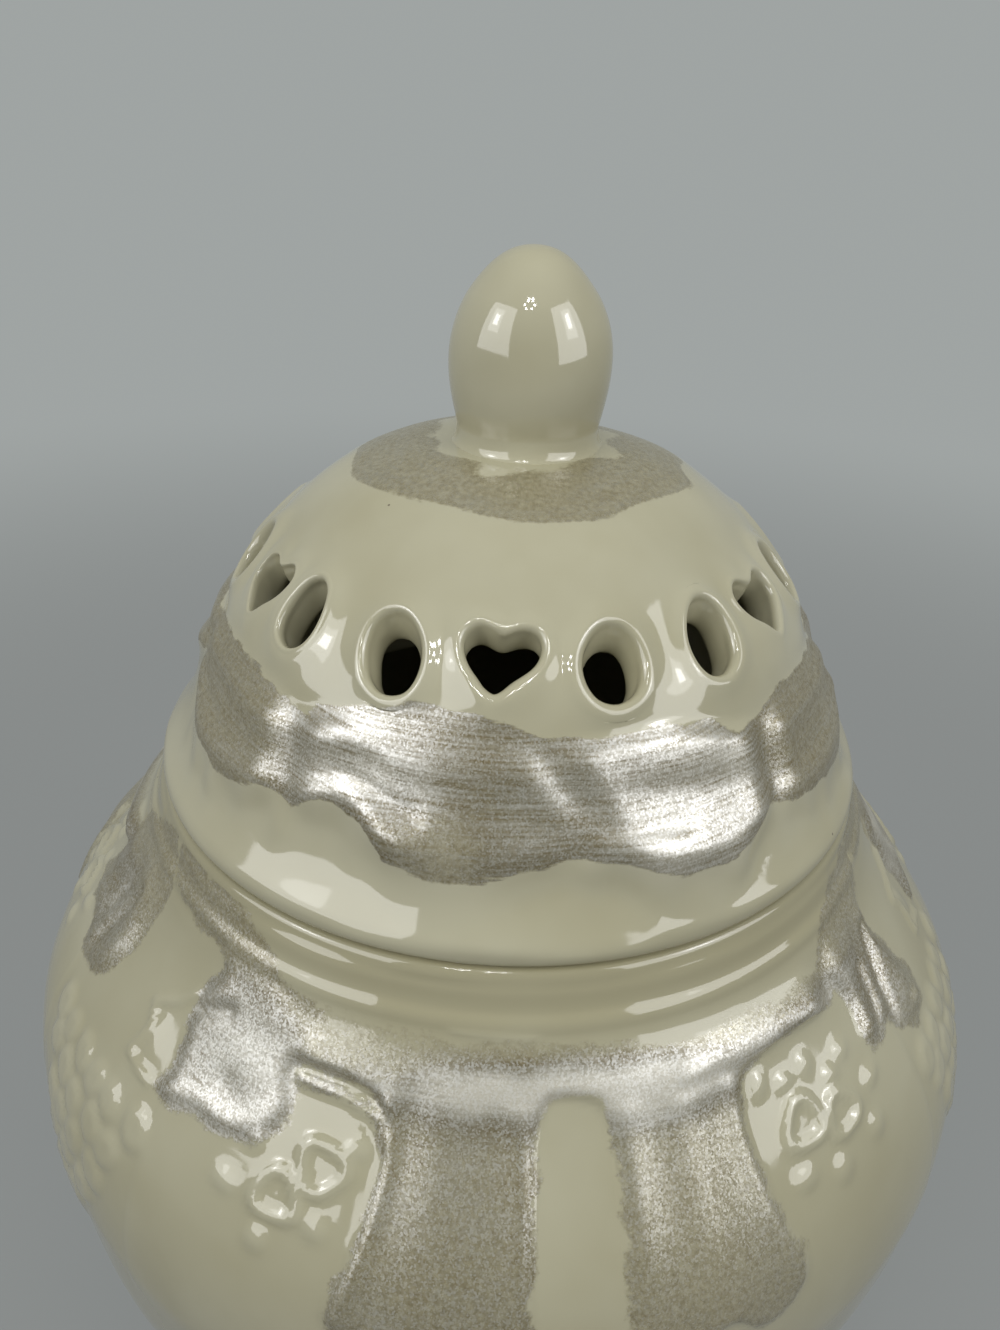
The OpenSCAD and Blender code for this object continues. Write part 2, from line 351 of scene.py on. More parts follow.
def pierce(mesh, hole, outer, inner, draw):
    """Cuts one hole, a little uneven in place, outline and rim as a hand-cut hole is."""
    lift, fat, wobble = draw.uniform(-0.4, 0.4), draw.uniform(0.7, 1.4), draw.uniform(0, 2 * pi)
    turn, lean = HOLES[hole]
    reach, rings = (heart_reach, HEART_RINGS) if hole % 3 == 0 else (oval_reach, OVAL_RINGS)
    outer_faces, outer_border = outer
    inner_faces, inner_border = inner
    # The section runs down the outside and up the inside, so rows count opposite ways
    keys = sorted(outer_border, key=lambda k: atan2(-k[1], k[0]))
    ring = [outer_border[k] for k in keys]
    far_ring = [inner_border[column, -row] for column, row in keys]
    spare = {v for f in outer_faces + inner_faces for v in f.verts} - {*ring, *far_ring}
    bmesh.ops.delete(mesh, geom=outer_faces + inner_faces, context="FACES_ONLY")
    bmesh.ops.delete(mesh, geom=list(spare), context="VERTS")
    out = on_ring(turn, cos(hole_lean), sin(hole_lean))
    ways = [atan2(-row, column) for column, row in keys]
    for share, depth in rings:
        flat = []
        for w in ways:
            uneven = 1 + 0.05 * sin(2 * w + wobble) + 0.025 * sin(3 * w + 2 * wobble)
            flat.append(Vector((cos(w), sin(w))) * (uneven * reach(w - radians(lean)) + share * rooms[hole]))
        flat = drawn_out(flat)
        depth = depth * fat if depth < 0 else depth
        ring = next_ring(mesh, ring)
        for point, (across, up) in zip(ring, flat):
            sunk = HOLE_SLANT * max(depth, 0)
            radius, height = at_length(lid_wall, [hole_length + lift + up - sunk])[0]
            point.co = on_ring(turn + degrees(across / hole_r), radius, height) - out * depth
    ring = next_ring(mesh, ring)
    for point, far_point in zip(ring, far_ring):
        point.co = far_point.co


lid_mesh = spun(lid_section, LID_COLUMNS)
sector_columns(lid_mesh)
windows = [(window(lid_mesh, outer_window_row, k), window(lid_mesh, inner_window_row, k))
           for k in range(HOLE_COUNT)]
hand = np.random.default_rng(4)
for k, (outer, inner) in enumerate(windows):
    pierce(lid_mesh, k, outer, inner, hand)
bmesh.ops.remove_doubles(lid_mesh, verts=lid_mesh.verts, dist=0.001 * MM)
bmesh.ops.recalc_face_normals(lid_mesh, faces=lid_mesh.faces)
open_edges = sum(not e.is_manifold for e in lid_mesh.edges)
print(f"lid cage of {len(lid_mesh.faces)} faces, {open_edges} open edges")

# %% [markdown]
# Damp clay and thick glaze leave no sharp edge anywhere. A Subdivision Surface modifier rounds the cage.
# It is applied and not left live, because the relief is sculpted on the points that it makes.

# %% Round the lid
def rounded(piece, levels):
    """Applies a subdivision surface, so that the relief can be sculpted on its points."""
    smooth = piece.modifiers.new("round", "SUBSURF")
    smooth.levels = smooth.render_levels = levels
    fine = bpy.data.meshes.new_from_object(piece.evaluated_get(bpy.context.evaluated_depsgraph_get()))
    piece.modifiers.clear()
    piece.data = fine
    fine.shade_smooth()


lid = piece_from("lid_glazed", lid_mesh)
rounded(lid, 2)
print(f"lid of {len(lid.data.vertices)} points")

# %% [markdown]
# The relief is sculpted by moving points along their normals, the way a modeller presses clay. The
# points are read into arrays once, each with its turn from the front and its height above the lip.
# Long soft swells come first, because no cast and glazed surface is true: they bend the reflections.

# %% Sculpting helpers
def skin_of(piece):
    """Points in millimetres, normals, turns in degrees, radii and heights above the lip."""
    count = len(piece.data.vertices)
    points, normals = np.empty(count * 3), np.empty(count * 3)
    piece.data.vertices.foreach_get("co", points)
    piece.data.vertices.foreach_get("normal", normals)
    points = points.reshape(-1, 3) / MM
    turns = np.degrees(np.arctan2(points[:, 0], -points[:, 1]))
    return (points, normals.reshape(-1, 3), turns, np.hypot(points[:, 0], points[:, 1]), points[:, 2] - lip_z)


def press_out(piece, points, normals, heights):
    """Moves each point along its normal by its height."""
    piece.data.vertices.foreach_set("co", ((points + normals * heights[:, None]) * MM).ravel())
    piece.data.update()


def store(piece, name, values):
    """Keeps one number per point, for the material to read."""
    layer = piece.data.attributes.new(name, "FLOAT", "POINT")
    layer.data.foreach_set("value", np.asarray(values, np.float32))


def soft_step(low, high, values):
    """0 at `low` and 1 at `high`, with eased ends; low may be the larger."""
    t = np.clip((values - low) / (high - low), 0, 1)
    return t * t * (3 - 2 * t)


def hand_swells(points, size, height, seed):
    """Uneven swells about `size` millimetres long."""
    draw = np.random.default_rng(seed)
    swell = np.zeros(len(points))
    count = 14
    for _ in range(count):
        way = draw.normal(size=3)
        wave = 2 * pi / (size * draw.uniform(0.7, 1.6))
        swell += np.sin(points @ (way / np.linalg.norm(way)) * wave + draw.uniform(0, 2 * pi))
    return height * swell / sqrt(count / 2)


def round_the_jar(turns, points, ease=0.8):
    """Reads a line of drawn (turn, height) points that closes round the jar, with eased corners."""
    line = np.array(points)
    table_turns = np.arange(-180, 180, 0.5)
    table = np.interp(table_turns, line[:, 0], line[:, 1], period=360)
    weights = np.exp(-(np.arange(-40, 41) * 0.5 / ease) ** 2)
    table = np.convolve(np.concatenate([table[-40:], table, table[:40]]), weights / weights.sum(), "valid")
    return np.interp(turns, table_turns, table, period=360)


print(f"heights are counted from the lip, at {lip_z:.1f} mm")

# %% [markdown]
# Round the side of the lid hangs a band of cloth, caught up at nine places so that it puffs out between
# them. Its folds hang like chains from one catch to the next. The upper edge and the hem are drawn as lines
# round the lid, and everything on the band is placed by its share of the way from hem to top.

# %% Folds of the band
# Turn, depth in millimetres and slant in degrees of each catch, then the droop and the top slope of the
# puff to its right
CATCHES = [(-155, 0.6, 3, 0.7, 0.4), (-115, 0.8, -3, 0.8, 0.3), (-75, 0.6, 2, 0.6, 0.4),
           (-36, 0.5, -2, 0.6, 0.48), (10.5, 0.5, -12, 1.5, 0.2), (46, 1, 1, 0.7, 0.4),
           (86, 0.7, -3, 0.8, 0.3), (126, 0.8, 2, 0.8, 0.4), (166, 0.6, -2, 0.7, 0.3)]

paint_top = [(-172, 25.5), (-154, 22.8), (-136, 27.6), (-114, 23.2), (-95, 27.4), (-76, 24.6),
             (-59, 26.5), (-44, 25), (-36.5, 23.7), (-25, 27.5), (-12.5, 29.3), (-3, 28.1), (2, 27.2),
             (6, 25.5), (18, 26), (27, 26.5), (35, 24.7), (41.5, 22.7), (47, 22.7), (56, 24.4),
             (68, 24), (86, 22.4), (104, 27.2), (126, 23), (146, 28), (164, 23.6)]
paint_hem = [(-174, 9), (-154, 13.6), (-136, 8.6), (-114, 13.8), (-94, 10), (-76, 18), (-71, 16),
             (-63, 11.5), (-50, 9.6), (-40, 12.2), (-31, 12.8), (-26, 15.2), (-20.5, 13.7), (-17, 9.6),
             (-10, 8.3), (-2.5, 9.6), (5, 11), (12, 12), (18, 9.8), (25, 7.8), (33, 7.2), (39, 9),
             (43, 11.6), (50, 10.2), (58, 8.6), (70, 8.2), (86, 13.2), (104, 8.4), (126, 13.4),
             (146, 8.6), (166, 13.2)]

points, normals, turns, radii, heights = skin_of(lid)
wall_radii = np.interp(heights + lip_z, wall_heights, np.array(lid_wall)[:, 0])
outside_share = soft_step(-2.2, -0.6, radii - wall_radii) * soft_step(0.5, 2.5, heights)
outside_share = np.maximum(outside_share, soft_step(crown_z - 1.4, crown_z - 0.6, heights + lip_z))

cloth_top = round_the_jar(turns, paint_top, ease=5)
cloth_hem = round_the_jar(turns, paint_hem, ease=3.5)
share_up = (heights - cloth_hem) / (cloth_top - cloth_hem)
folds = np.zeros(len(points))
top_slope = np.zeros(len(points))
next_catches = CATCHES[1:] + [(CATCHES[0][0] + 360,)]
for (turn, depth, slant, droop, slope), (next_turn, *_) in zip(CATCHES, next_catches):
    aside = ((turns - turn - slant * (share_up - 0.5) + 180) % 360 - 180) * np.radians(radii)
    pleat = np.exp(-(aside / 2.6) ** 2) - 0.3 * np.exp(-((np.abs(aside) - 4.6) / 2.2) ** 2)
    folds -= depth * pleat * (1 if abs(slant) < 6 else soft_step(0.1, 0.6, share_up))
    place = ((turns - turn) % 360) / (next_turn - turn)
    hang = share_up + 0.5 * (place - 0.5) ** 2
    chain_fold = 0.2 * np.cos(2 * pi * (1.7 * hang - 0.25))
    chain_fold -= 0.35 * np.exp(-((hang - 0.34) / 0.07) ** 2) * (place < 0.5)
    chain_fold += droop * soft_step(0.66, 0.1, hang)
    middle = np.sin(pi * np.clip(place, 0, 1)) ** 0.7
    folds += np.where(place < 1, chain_fold * middle, 0)
    top_slope += np.where(place < 1, 0.3 + (slope - 0.3) * middle, 0)
cloth = soft_step(-0.3, 0.18, share_up) * soft_step(1.06, 1.06 - top_slope, share_up)
# A thicker lump of cloth hangs at the hem, left of the middle
folds += 0.6 * np.exp(-((turns + 16.5) * np.radians(radii) / 5) ** 2 - ((heights - 12.2) / 2.6) ** 2)
puff = cloth * (1.35 + folds)
print(f"band puffs out up to {puff.max():.2f} mm")

# %% [markdown]
# Below the hem the wall is lumpy, as if drops of slip had run there; only under the front of the band is
# it smooth. Round every hole the pushed-up clay and the glaze stand in a broad soft collar. Both are small
# bumps that fall off evenly round a middle, so a sum of bell curves gives them.

# %% Lumps and collars
SMOOTH_FRONT = (-19, 12)
LUMP_STEP = 8

lumps = np.zeros(len(points))
draw = np.random.default_rng(12)
for turn in range(-180, 180, LUMP_STEP):
    middle, drop, size = turn + draw.uniform(-2, 2), draw.uniform(1.4, 3.4), draw.uniform(2.2, 3.6)
    across = ((turns - middle + 180) % 360 - 180) * np.radians(radii)
    if not SMOOTH_FRONT[0] < turn < SMOOTH_FRONT[1]:
        gap = across ** 2 + (heights - cloth_hem + drop) ** 2
        lumps += draw.uniform(0.3, 0.75) * np.exp(-gap / size ** 2)
wall_lengths = np.interp(heights + lip_z, wall_heights, wall_run) - hole_length
collars = np.zeros(len(points))
for k, (turn, lean) in enumerate(HOLES):
    across = np.radians((turns - turn + 180) % 360 - 180) * hole_r
    near = np.hypot(across, wall_lengths) < 11
    ways = np.arctan2(wall_lengths[near], across[near]) - radians(lean)
    outlines = np.array([(oval_reach if k % 3 else heart_reach)(way) for way in ways])
    beyond = np.hypot(across, wall_lengths)[near] - outlines
    collar_size = hand.uniform(0.3, 0.5) * (1 if k % 3 else 0.5)
    collars[near] = np.maximum(collars[near], collar_size * np.exp(-((beyond - 1.5) / 1.8) ** 2))
uneven = collars + hand_swells(points, 22, 0.13, 5) + hand_swells(points, 11, 0.045, 8)
lid_heights = outside_share * (np.maximum(puff, 0) + lumps + uneven)
print(f"lid relief up to {lid_heights.max():.2f} mm, collars up to {collars.max():.2f} mm")

# %% [markdown]
# Silver lustre is brushed over the band and round the crown by hand, so its edge wanders from the relief's
# edge. Two attributes carry it to the material. "lustre" is 0 on the paint's edge, grows inwards and falls
# outwards, so the material can roughen the edge. "coat" says how thickly the paint lies.

# %% Paint of the lid
CROWN_PAINT_ABOVE = 40
CROWN_COAT = 0.36

edge_wander = hand_swells(points, 5, 0.35, 9)
band_paint = np.minimum(round_the_jar(turns, paint_top) - heights, heights - round_the_jar(turns, paint_hem))
crown_edge = 25.6 + 1.1 * np.cos(np.radians(turns - 175)) + hand_swells(points, 14, 0.5, 3)
crown_paint = np.minimum(crown_edge - radii, 0.3 * (radii - 13.6 - hand_swells(points, 7, 1.5, 6)))
crown_paint = np.where(heights > CROWN_PAINT_ABOVE, crown_paint, -3)
lid_paint = np.maximum(band_paint + edge_wander, crown_paint)
lid_paint = np.where(outside_share > 0.3, np.clip(lid_paint, -3, 3), -3)

press_out(lid, points, normals, lid_heights)
store(lid, "lustre", lid_paint)
band_coat = round_the_jar(turns, [
    (-100, 0.5), (-78, 0.45), (-42, 0.45), (-32, 0.8), (-18, 0.8), (-8, 0.62), (8, 0.62), (16, 0.82),
    (38, 0.85), (48, 0.5), (72, 0.45), (92, 0.7), (120, 0.75), (130, 0.5), (158, 0.45), (172, 0.75),
    (-150, 0.75), (-130, 0.5)], ease=3)
band_coat -= 0.22 * soft_step(19, 13, heights) * soft_step(8, 0, np.abs(turns + 16) - 8)
store(lid, "coat", np.where(heights > CROWN_PAINT_ABOVE, CROWN_COAT, band_coat))
store(lid, "relief", lid_heights)
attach(lid, "lid")
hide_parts("lid", "lid_drapery")
print(f"paint on {(lid_paint > 0).mean():.0%} of the lid's points")

# %% [markdown]
# The knob is an egg, pinched where it was pressed on to the crown with slip. It stands a little off the
# lid's axis, as a hand-set knob does, and so its place comes from the solid. Its foot flares and dips
# under the crown's glaze, so that the two flow into one another.

# %% Knob
KNOB_COLUMNS = 128
knob_x = (knob_low.x + knob_high.x) / 2
knob_h = knob_high.z - knob_low.z
tip_z = crown_z + knob_h
knob_foot = [(0, crown_z - 1.6), (11.7, crown_z - 1.6), (12.2, crown_z - 1)]
knob_neck = bend((12, crown_z - 0.4), (11.1, crown_z - 0.1), (10.7, crown_z + 0.9), (10.7, crown_z + 3))
knob_side = bend((10.7, crown_z + 3), (11.8, crown_z + 8.1), (13.1, crown_z + 14.3), (9.44, crown_z + 21))
knob_tip = bend((9.44, crown_z + 21), (6.6, tip_z - 2.1), (3.9, tip_z), (0, tip_z))
knob_section = chain(knob_foot, paced(knob_neck, 0.5), paced(knob_side, 0.8), paced(knob_tip, 0.6))
knob_mesh = spun(knob_section, KNOB_COLUMNS)
knob = piece_from("knob_glazed", knob_mesh)
points, normals, turns, radii, heights = skin_of(knob)
knob_heights = hand_swells(points, 16, 0.09, 21) * soft_step(0, 5, heights + lip_z - crown_z)
press_out(knob, points + np.array([knob_x, 0, 0]), normals, knob_heights)
store(knob, "relief", knob_heights)
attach(knob, "lid")
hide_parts("lid_knob")
print(f"knob {knob_h:.1f} mm tall, {knob_x:.1f} mm off the axis, {len(knob.data.vertices)} points")

# %% [markdown]
# The jar is one spin too. Its outside runs from the recess under the foot over the belly and shoulder
# to the neck; its inside is seen when the lid is lifted off. The neck is a shallow cove with one broad
# bead, where the glaze has run together under the lid's lip.

# %% Section of the jar
MIDDLE_R = 20
foot = [(MIDDLE_R, 3), (42.6, 3), (44.4, 2.6), (45.4, 0), (51.2, 0), (52, 0.8), (52, 4.4), (54, 8.2)]
lower_belly = bend((54, 8.2), (66.6, 30), (belly_r, 60), (belly_r, 99))
shoulder = bend((belly_r, 99), (belly_r, 124.6), (68.4, 128.6), (62, lip_z - 10.7))
neck_cove = [(61.35, lip_z - 9.5), (61.2, lip_z - 8.7), (60.96, lip_z - 8.1), (60.72, lip_z - 7.72),
             (60.42, lip_z - 7.38), (60.1, lip_z - 7.04), (59.86, lip_z - 6.66), (59.58, lip_z - 6),
             (59.28, lip_z - 5), (58.98, lip_z - 3.95), (58.68, lip_z - 2.9), (58.36, lip_z - 1.8)]
neck = [(57.6, lip_z - 1.25), (54, lip_z - 1.2), (53, lip_z - 0.4)]
rim = [(53, seat_z - 1.6), (52.6, seat_z - 0.1), (50.5, seat_z), (48.4, seat_z - 0.1), (48, seat_z - 1.6)]
inner_shoulder = bend((48, seat_z - 8), (56, seat_z - 14), (belly_r - WALL, 122), (belly_r - WALL, 99))
inner_bowl = bend((belly_r - WALL, 99), (belly_r - WALL, 62), (62, 32), (44, 9.5))
inner_floor = [(MIDDLE_R, 8)]
jar_wall = chain(shoulder, neck_cove)
print(f"shoulder and neck of {running_length(jar_wall)[-1]:.1f} mm along the wall")

# %% [markdown]
# The shoulder carries the finest relief, so its rows lie close together there, and far apart where the
# wall is plain. The flat middles of the foot and the floor stay open until the surface has been rounded,
# because hundreds of faces that meet in one point round slowly; then one flat face closes each.

# %% Spin and round the jar
JAR_COLUMNS = 288
FINE_PACE, PLAIN_PACE, INNER_PACE, BOWL_PACE = 1.55, 11, 12, 16
RELIEF_DEPTH = 62

relief_foot = lip_z - RELIEF_DEPTH
plain_wall = chain(lower_belly, [p for p in shoulder if p[1] < relief_foot])
fine_wall = [p for p in shoulder if p[1] >= relief_foot]
jar_section = chain(
    foot, paced(plain_wall, PLAIN_PACE), paced(fine_wall, FINE_PACE), neck_cove, neck, rim,
    paced(inner_shoulder, INNER_PACE), paced(inner_bowl, BOWL_PACE), inner_floor)
jar = piece_from("jar_glazed", spun(jar_section, JAR_COLUMNS))
rounded(jar, 1)
jar_mesh = bmesh.new()
jar_mesh.from_mesh(jar.data)
bmesh.ops.holes_fill(jar_mesh, edges=[e for e in jar_mesh.edges if e.is_boundary])
bmesh.ops.recalc_face_normals(jar_mesh, faces=jar_mesh.faces)
open_edges = sum(not e.is_manifold for e in jar_mesh.edges)
jar_mesh.to_mesh(jar.data)
jar_mesh.free()
jar.data.shade_smooth()
print(f"jar of {len(jar_section)} rows, {2 * len(jar.data.polygons)} triangles, {open_edges} open edges")

# %% [markdown]
# The relief of the shoulder repeats three times. Each form is drawn flat, as a modeller would draw it
# on paper, with x in degrees from the middle of its panel and y as the height from the lip. Domes make
# fruit and leaf fingers, ridges make ribs and folds, and outlines make the cloth. A soft maximum joins
# them, because glaze floods every sharp corner.

# %% Drawing helpers for the relief
DEGREE_MM = 1.2
wall_line = np.array(jar_wall)
wall_up = running_length(jar_wall)


def up_wall(heights_from_lip):
    """Length along the wall at a height from the lip, so that drawn shapes keep their size."""
    return np.interp(np.asarray(heights_from_lip) + lip_z, wall_line[:, 1], wall_up)


def drawn(points):
    """Turns drawn (degrees, height) points into millimetres across and along the wall."""
    line = np.array(points, float)
    return np.column_stack([line[:, 0] * DEGREE_MM, up_wall(line[:, 1])])


def to_line(x, y, line):
    """Distance from each point to a drawn line."""
    gap = np.full(x.shape, np.inf)
    for (ax, ay), (bx, by) in zip(line, line[1:]):
        dx, dy = bx - ax, by - ay
        t = np.clip(((x - ax) * dx + (y - ay) * dy) / (dx * dx + dy * dy), 0, 1)
        gap = np.minimum(gap, np.hypot(x - ax - t * dx, y - ay - t * dy))
    return gap


def eased(points, rounds=2):
    """Cuts the corners of a closed outline until it runs smoothly."""
    line = drawn(points)
    for _ in range(rounds):
        after = np.roll(line, -1, axis=0)
        line = np.stack([0.75 * line + 0.25 * after, 0.25 * line + 0.75 * after], axis=1).reshape(-1, 2)
    return line


def inside_by(x, y, outline):
    """How far each point lies inside an outline; outside it is below 0."""
    closed = np.vstack([outline, outline[:1]])
    gap = to_line(x, y, closed)
    odd = np.zeros(x.shape, bool)
    for (ax, ay), (bx, by) in zip(closed, closed[1:]):
        if ay != by:
            odd ^= ((ay > y) != (by > y)) & (x < ax + (y - ay) / (by - ay) * (bx - ax))
    return np.where(odd, gap, -gap)


def dome(x, y, middle, half_w, half_h, height, lean=0):
    """A round or oval swelling that meets the wall steeply."""
    (cx, cy), = drawn([middle])
    c, s = cos(radians(lean)), sin(radians(lean))
    across = ((x - cx) * c + (y - cy) * s) / half_w
    along = ((y - cy) * c - (x - cx) * s) / half_h
    return height * np.clip(1 - across ** 2 - along ** 2, 0, 1) ** 0.75


def ridge(x, y, points, width, height):
    """A rounded rib along a drawn line, or a groove where the height is below 0."""
    return height * np.exp(-(to_line(x, y, drawn(points)) / width) ** 2)


def soft_max(a, b, soft):
    """The larger of two heights, with the corner between them filled."""
    return np.maximum(a, b) + np.clip(soft - np.abs(a - b), 0, None) ** 2 / (4 * soft)


print(f"one degree is drawn {DEGREE_MM} mm wide, the wall {wall_up[-1]:.1f} mm long")

# %% [markdown]
# In the middle of each panel hangs a swag of cloth: a sheet that grows out of the shoulder and swells
# downwards, an arm to each side, and two tails. Beside the tails lie open flowers and low buds. The cloth
# is one outline with ribs and grooves laid on it, so a fold is one line of the list.

# %% Forms of one panel
swag_points = [
    (-46, -9.4), (-36, -9.6), (-27, -9.5), (-19, -9.5), (-8, -9.6), (0, -10.2), (8, -11.6), (16, -12),
    (24, -11.6), (30, -12.2), (35, -12.8), (40, -14.4), (39.4, -18.4), (35, -18.4), (29.4, -17.5),
    (25.4, -18), (21.4, -18.4), (20.6, -21), (20, -25), (21.4, -34), (24, -40), (21, -46), (16.5, -47),
    (14, -42.5), (11, -47), (6.5, -47.5), (4.4, -42), (4.2, -30), (4, -18), (0, -16.6), (-3.6, -16.8),
    (-4, -30), (-4.4, -42), (-7, -47), (-11, -47.5), (-14, -42.5), (-17, -47), (-22, -46), (-24, -40),
    (-21.4, -33), (-20, -24), (-20.6, -18.6), (-26.6, -17.2), (-31.4, -17.4), (-38, -17.6),
    (-46, -17.6)]
swag_outline = eased(swag_points)
# The sheet itself has no upper edge: it grows out of the shoulder
sheet_outline = eased([(turn, -6 if height > -15 else height) for turn, height in swag_points])


def swag(x, y):
    """A sheet of cloth that swells downwards, with undercut arms, two hanging tails and a loose strand."""
    inside = inside_by(x, y, swag_outline)
    within = soft_step(-0.4, 1.4, inside_by(x, y, sheet_outline))
    within = within * soft_step(48, 40, x) * soft_step(-47, -36, x)
    sheet_top, sheet_low, sheet_end = up_wall([-7, -16, -22])
    swell = soft_step(sheet_top, sheet_low, y) * soft_step(sheet_end, sheet_low, y)
    cloth = (0.7 + 0.65 * swell) * within * soft_step(sheet_top, sheet_low, y)
    for points, width, height in (
            ([(35, -17), (28, -15.9), (22, -15.7), (15, -16.3)], 3.4, 0.75),
            ([(-30, -15.4), (-25, -15.8), (-20, -16.6)], 2.4, 0.4),
            ([(-14, -9.2), (-9, -9.3), (-4, -9.5)], 0.6, 0.4),
            ([(21.3, -18.6), (18, -17.2), (13, -17.6)], 1.2, -0.3),
            ([(-20.2, -18.6), (-19.6, -22), (-20.4, -30), (-22, -40)], 1.2, 0.7),
            ([(-14.5, -19), (-14, -30), (-15, -42)], 3.0, 0.3),
            ([(-6.2, -18), (-5.6, -26), (-6.5, -43)], 1.6, 0.4),
            ([(6.2, -19), (6.4, -28), (7, -43)], 1.8, 0.3),
            ([(13, -19), (13.4, -30), (14, -44)], 3.4, 0.5),
            ([(19, -19), (18.8, -24), (19.6, -32), (22, -42)], 1.4, 0.4)):
        cloth = cloth + ridge(x, y, points, width, height) * within
    strand = to_line(x, y, drawn([(-31, -18.6), (-25.5, -18.8), (-21, -20), (-19.6, -22.6)]))
    cloth = soft_max(cloth, 1.1 * np.exp(-(strand / 1.1) ** 2), 0.2)
    return cloth, np.maximum(inside, 1 - strand)


def rosette(x, y, middle, size):
    """A soft open flower: a wavy ring round a hollow with a small heart."""
    (cx, cy), = drawn([middle])
    gap = np.hypot(x - cx, y - cy) / size
    wave = 1 + 0.12 * np.cos(3 * np.arctan2(y - cy, x - cx) + middle[0])
    return 1.1 * np.exp(-((gap / wave - 0.75) / 0.25) ** 2) + 0.3 * np.exp(-(gap / 0.35) ** 2)


def buds(x, y):
    """Low buds beside the tails, among the flowers."""
    low = np.zeros(x.shape)
    for turn, height, half_w, half_h in (
            (23, -20.7, 2.4, 1.7), (26.4, -21.8, 1.8, 2.2), (30, -21.4, 2.4, 1.8), (33, -24, 2, 2.2),
            (36, -22.8, 2.2, 2.6), (38.6, -27.4, 2, 2.8), (36.4, -32, 2.6, 2.2), (30, -33, 2.8, 2.2),
            (25, -31.4, 2.2, 2.4), (-23, -23.6, 2, 2.4), (-34, -25.6, 2.4, 2.2), (-36, -31, 2.2, 2.6),
            (-25.4, -31.6, 2.4, 2.2), (-31, -35, 2.6, 2)):
        low = soft_max(low, dome(x, y, (turn, height), half_w, half_h, 0.85, lean=3 * turn), 0.3)
    return low


print(f"swag of {len(swag_points)} drawn points, {len(swag_outline)} when eased")

# %% [markdown]
# Between two swags lies a spray: a low arch of leaf that parts into fingers on its left and curls into a
# scroll on its right, with a bunch of small fruit below. The front right spray has the longer fingers, so
# it has its own left leaf. Two leaves with one set of ribs keep the three sprays alike but not the same.

# %% Forms of one spray
blunt_leaf = eased([
    (-5, -2.6), (-10, -3.2), (-14, -5.6), (-18, -7.6), (-21.4, -9.8), (-24, -13.4), (-25, -18),
    (-25.4, -24.4), (-22, -26), (-18, -25.8), (-15, -28.4), (-11.5, -28.8), (-8.4, -27.8),
    (-5.8, -25.2), (-4.2, -21.8), (-3.8, -16.4), (-2.4, -11.6), (-2, -10)])
fingered_leaf = eased([
    (-5, -2.6), (-10, -3.2), (-14, -5.6), (-18.4, -7.6), (-21.6, -10.8), (-22.7, -15.3), (-19.4, -19.5),
    (-21, -24.8), (-17.4, -26.6), (-14.1, -25.6), (-12, -28.6), (-8.9, -30.1), (-4, -30.4),
    (-2.8, -27.6), (-4, -23.3), (-6.8, -17.2), (-6.4, -12), (-3, -10)])
right_leaf = eased([
    (-6, -2), (2, -1.6), (10, -1.8), (15, -3.2), (18.6, -5.2), (22, -7.4), (25, -9.2), (30, -12),
    (29.5, -17.6), (27.6, -18.4), (29.4, -22), (28, -25), (25, -27), (21, -28), (17.5, -27.4),
    (14, -29), (10.6, -28), (12, -25), (11.4, -22.8), (10.4, -19), (11, -14.6), (13.4, -11.6), (9, -10),
    (3, -9.6), (-3, -9.6)])


def spray(x, y, left_leaf):
    """A low arch of leaf that parts into fingers on the left and curls into a scroll on the right."""
    inside = np.maximum(inside_by(x, y, left_leaf), inside_by(x, y, right_leaf))
    within = soft_step(-0.6, 3, inside)
    arch_top, arch_end = up_wall([-8, -15])
    well_in = soft_step(-0.4, 4, inside)
    leaf = (0.3 + 0.5 * soft_step(arch_top, arch_end, y)) * within
    for line, width, height in (
            ([(-2, -8.6), (-9, -9.6), (-14, -13), (-16, -17)], 2.4, 0.2),
            ([(4, -6.4), (13, -7.6), (19, -10.6), (24, -13)], 3, 0.15),
            ([(-18.4, -15), (-19.8, -23)], 3, 0.7),
            ([(-9, -14), (-8, -20), (-7.6, -25)], 2.6, 0.6),
            ([(-9.4, -15), (-10.4, -19), (-12, -23), (-12.6, -26.6)], 0.9, -0.8),
            ([(-14.2, -18), (-14.9, -22), (-16.8, -25.6)], 0.8, -0.7),
            ([(11, -18.8), (14.5, -17), (17, -15.8)], 1.1, -0.5),
            ([(12, -27.4), (15, -26.6), (20, -26.8), (25, -26), (27.8, -23)], 2, 0.25)):
        leaf = leaf + ridge(x, y, line, width, height) * within
    leaf = leaf + dome(x, y, (-6.6, -27.6), 1.7, 1.7, 0.6) * within
    for middle, half_w, half_h, height in (
            ((20.4, -18.2), 8.6, 6.6, 0.5), ((14, -14.2), 3.6, 2.8, 0.3), ((20.4, -23.2), 3, 2.4, -0.35)):
        (cx, cy), = drawn([middle])
        leaf = leaf + height * np.exp(-((x - cx) / half_w) ** 2 - ((y - cy) / half_h) ** 2) * well_in
    stem = [(10.8, -16.8), (8.6, -19.2), (4.8, -21.4), (6.4, -23.7), (5.4, -27.4), (10, -28)]
    bud = soft_max(ridge(x, y, stem, 0.7, 0.8), dome(x, y, (7.6, -24), 2.2, 4.2, 0.5, lean=12), 0.3)
    return soft_max(np.where(inside > -0.8, leaf, 0), bud, 0.3), inside


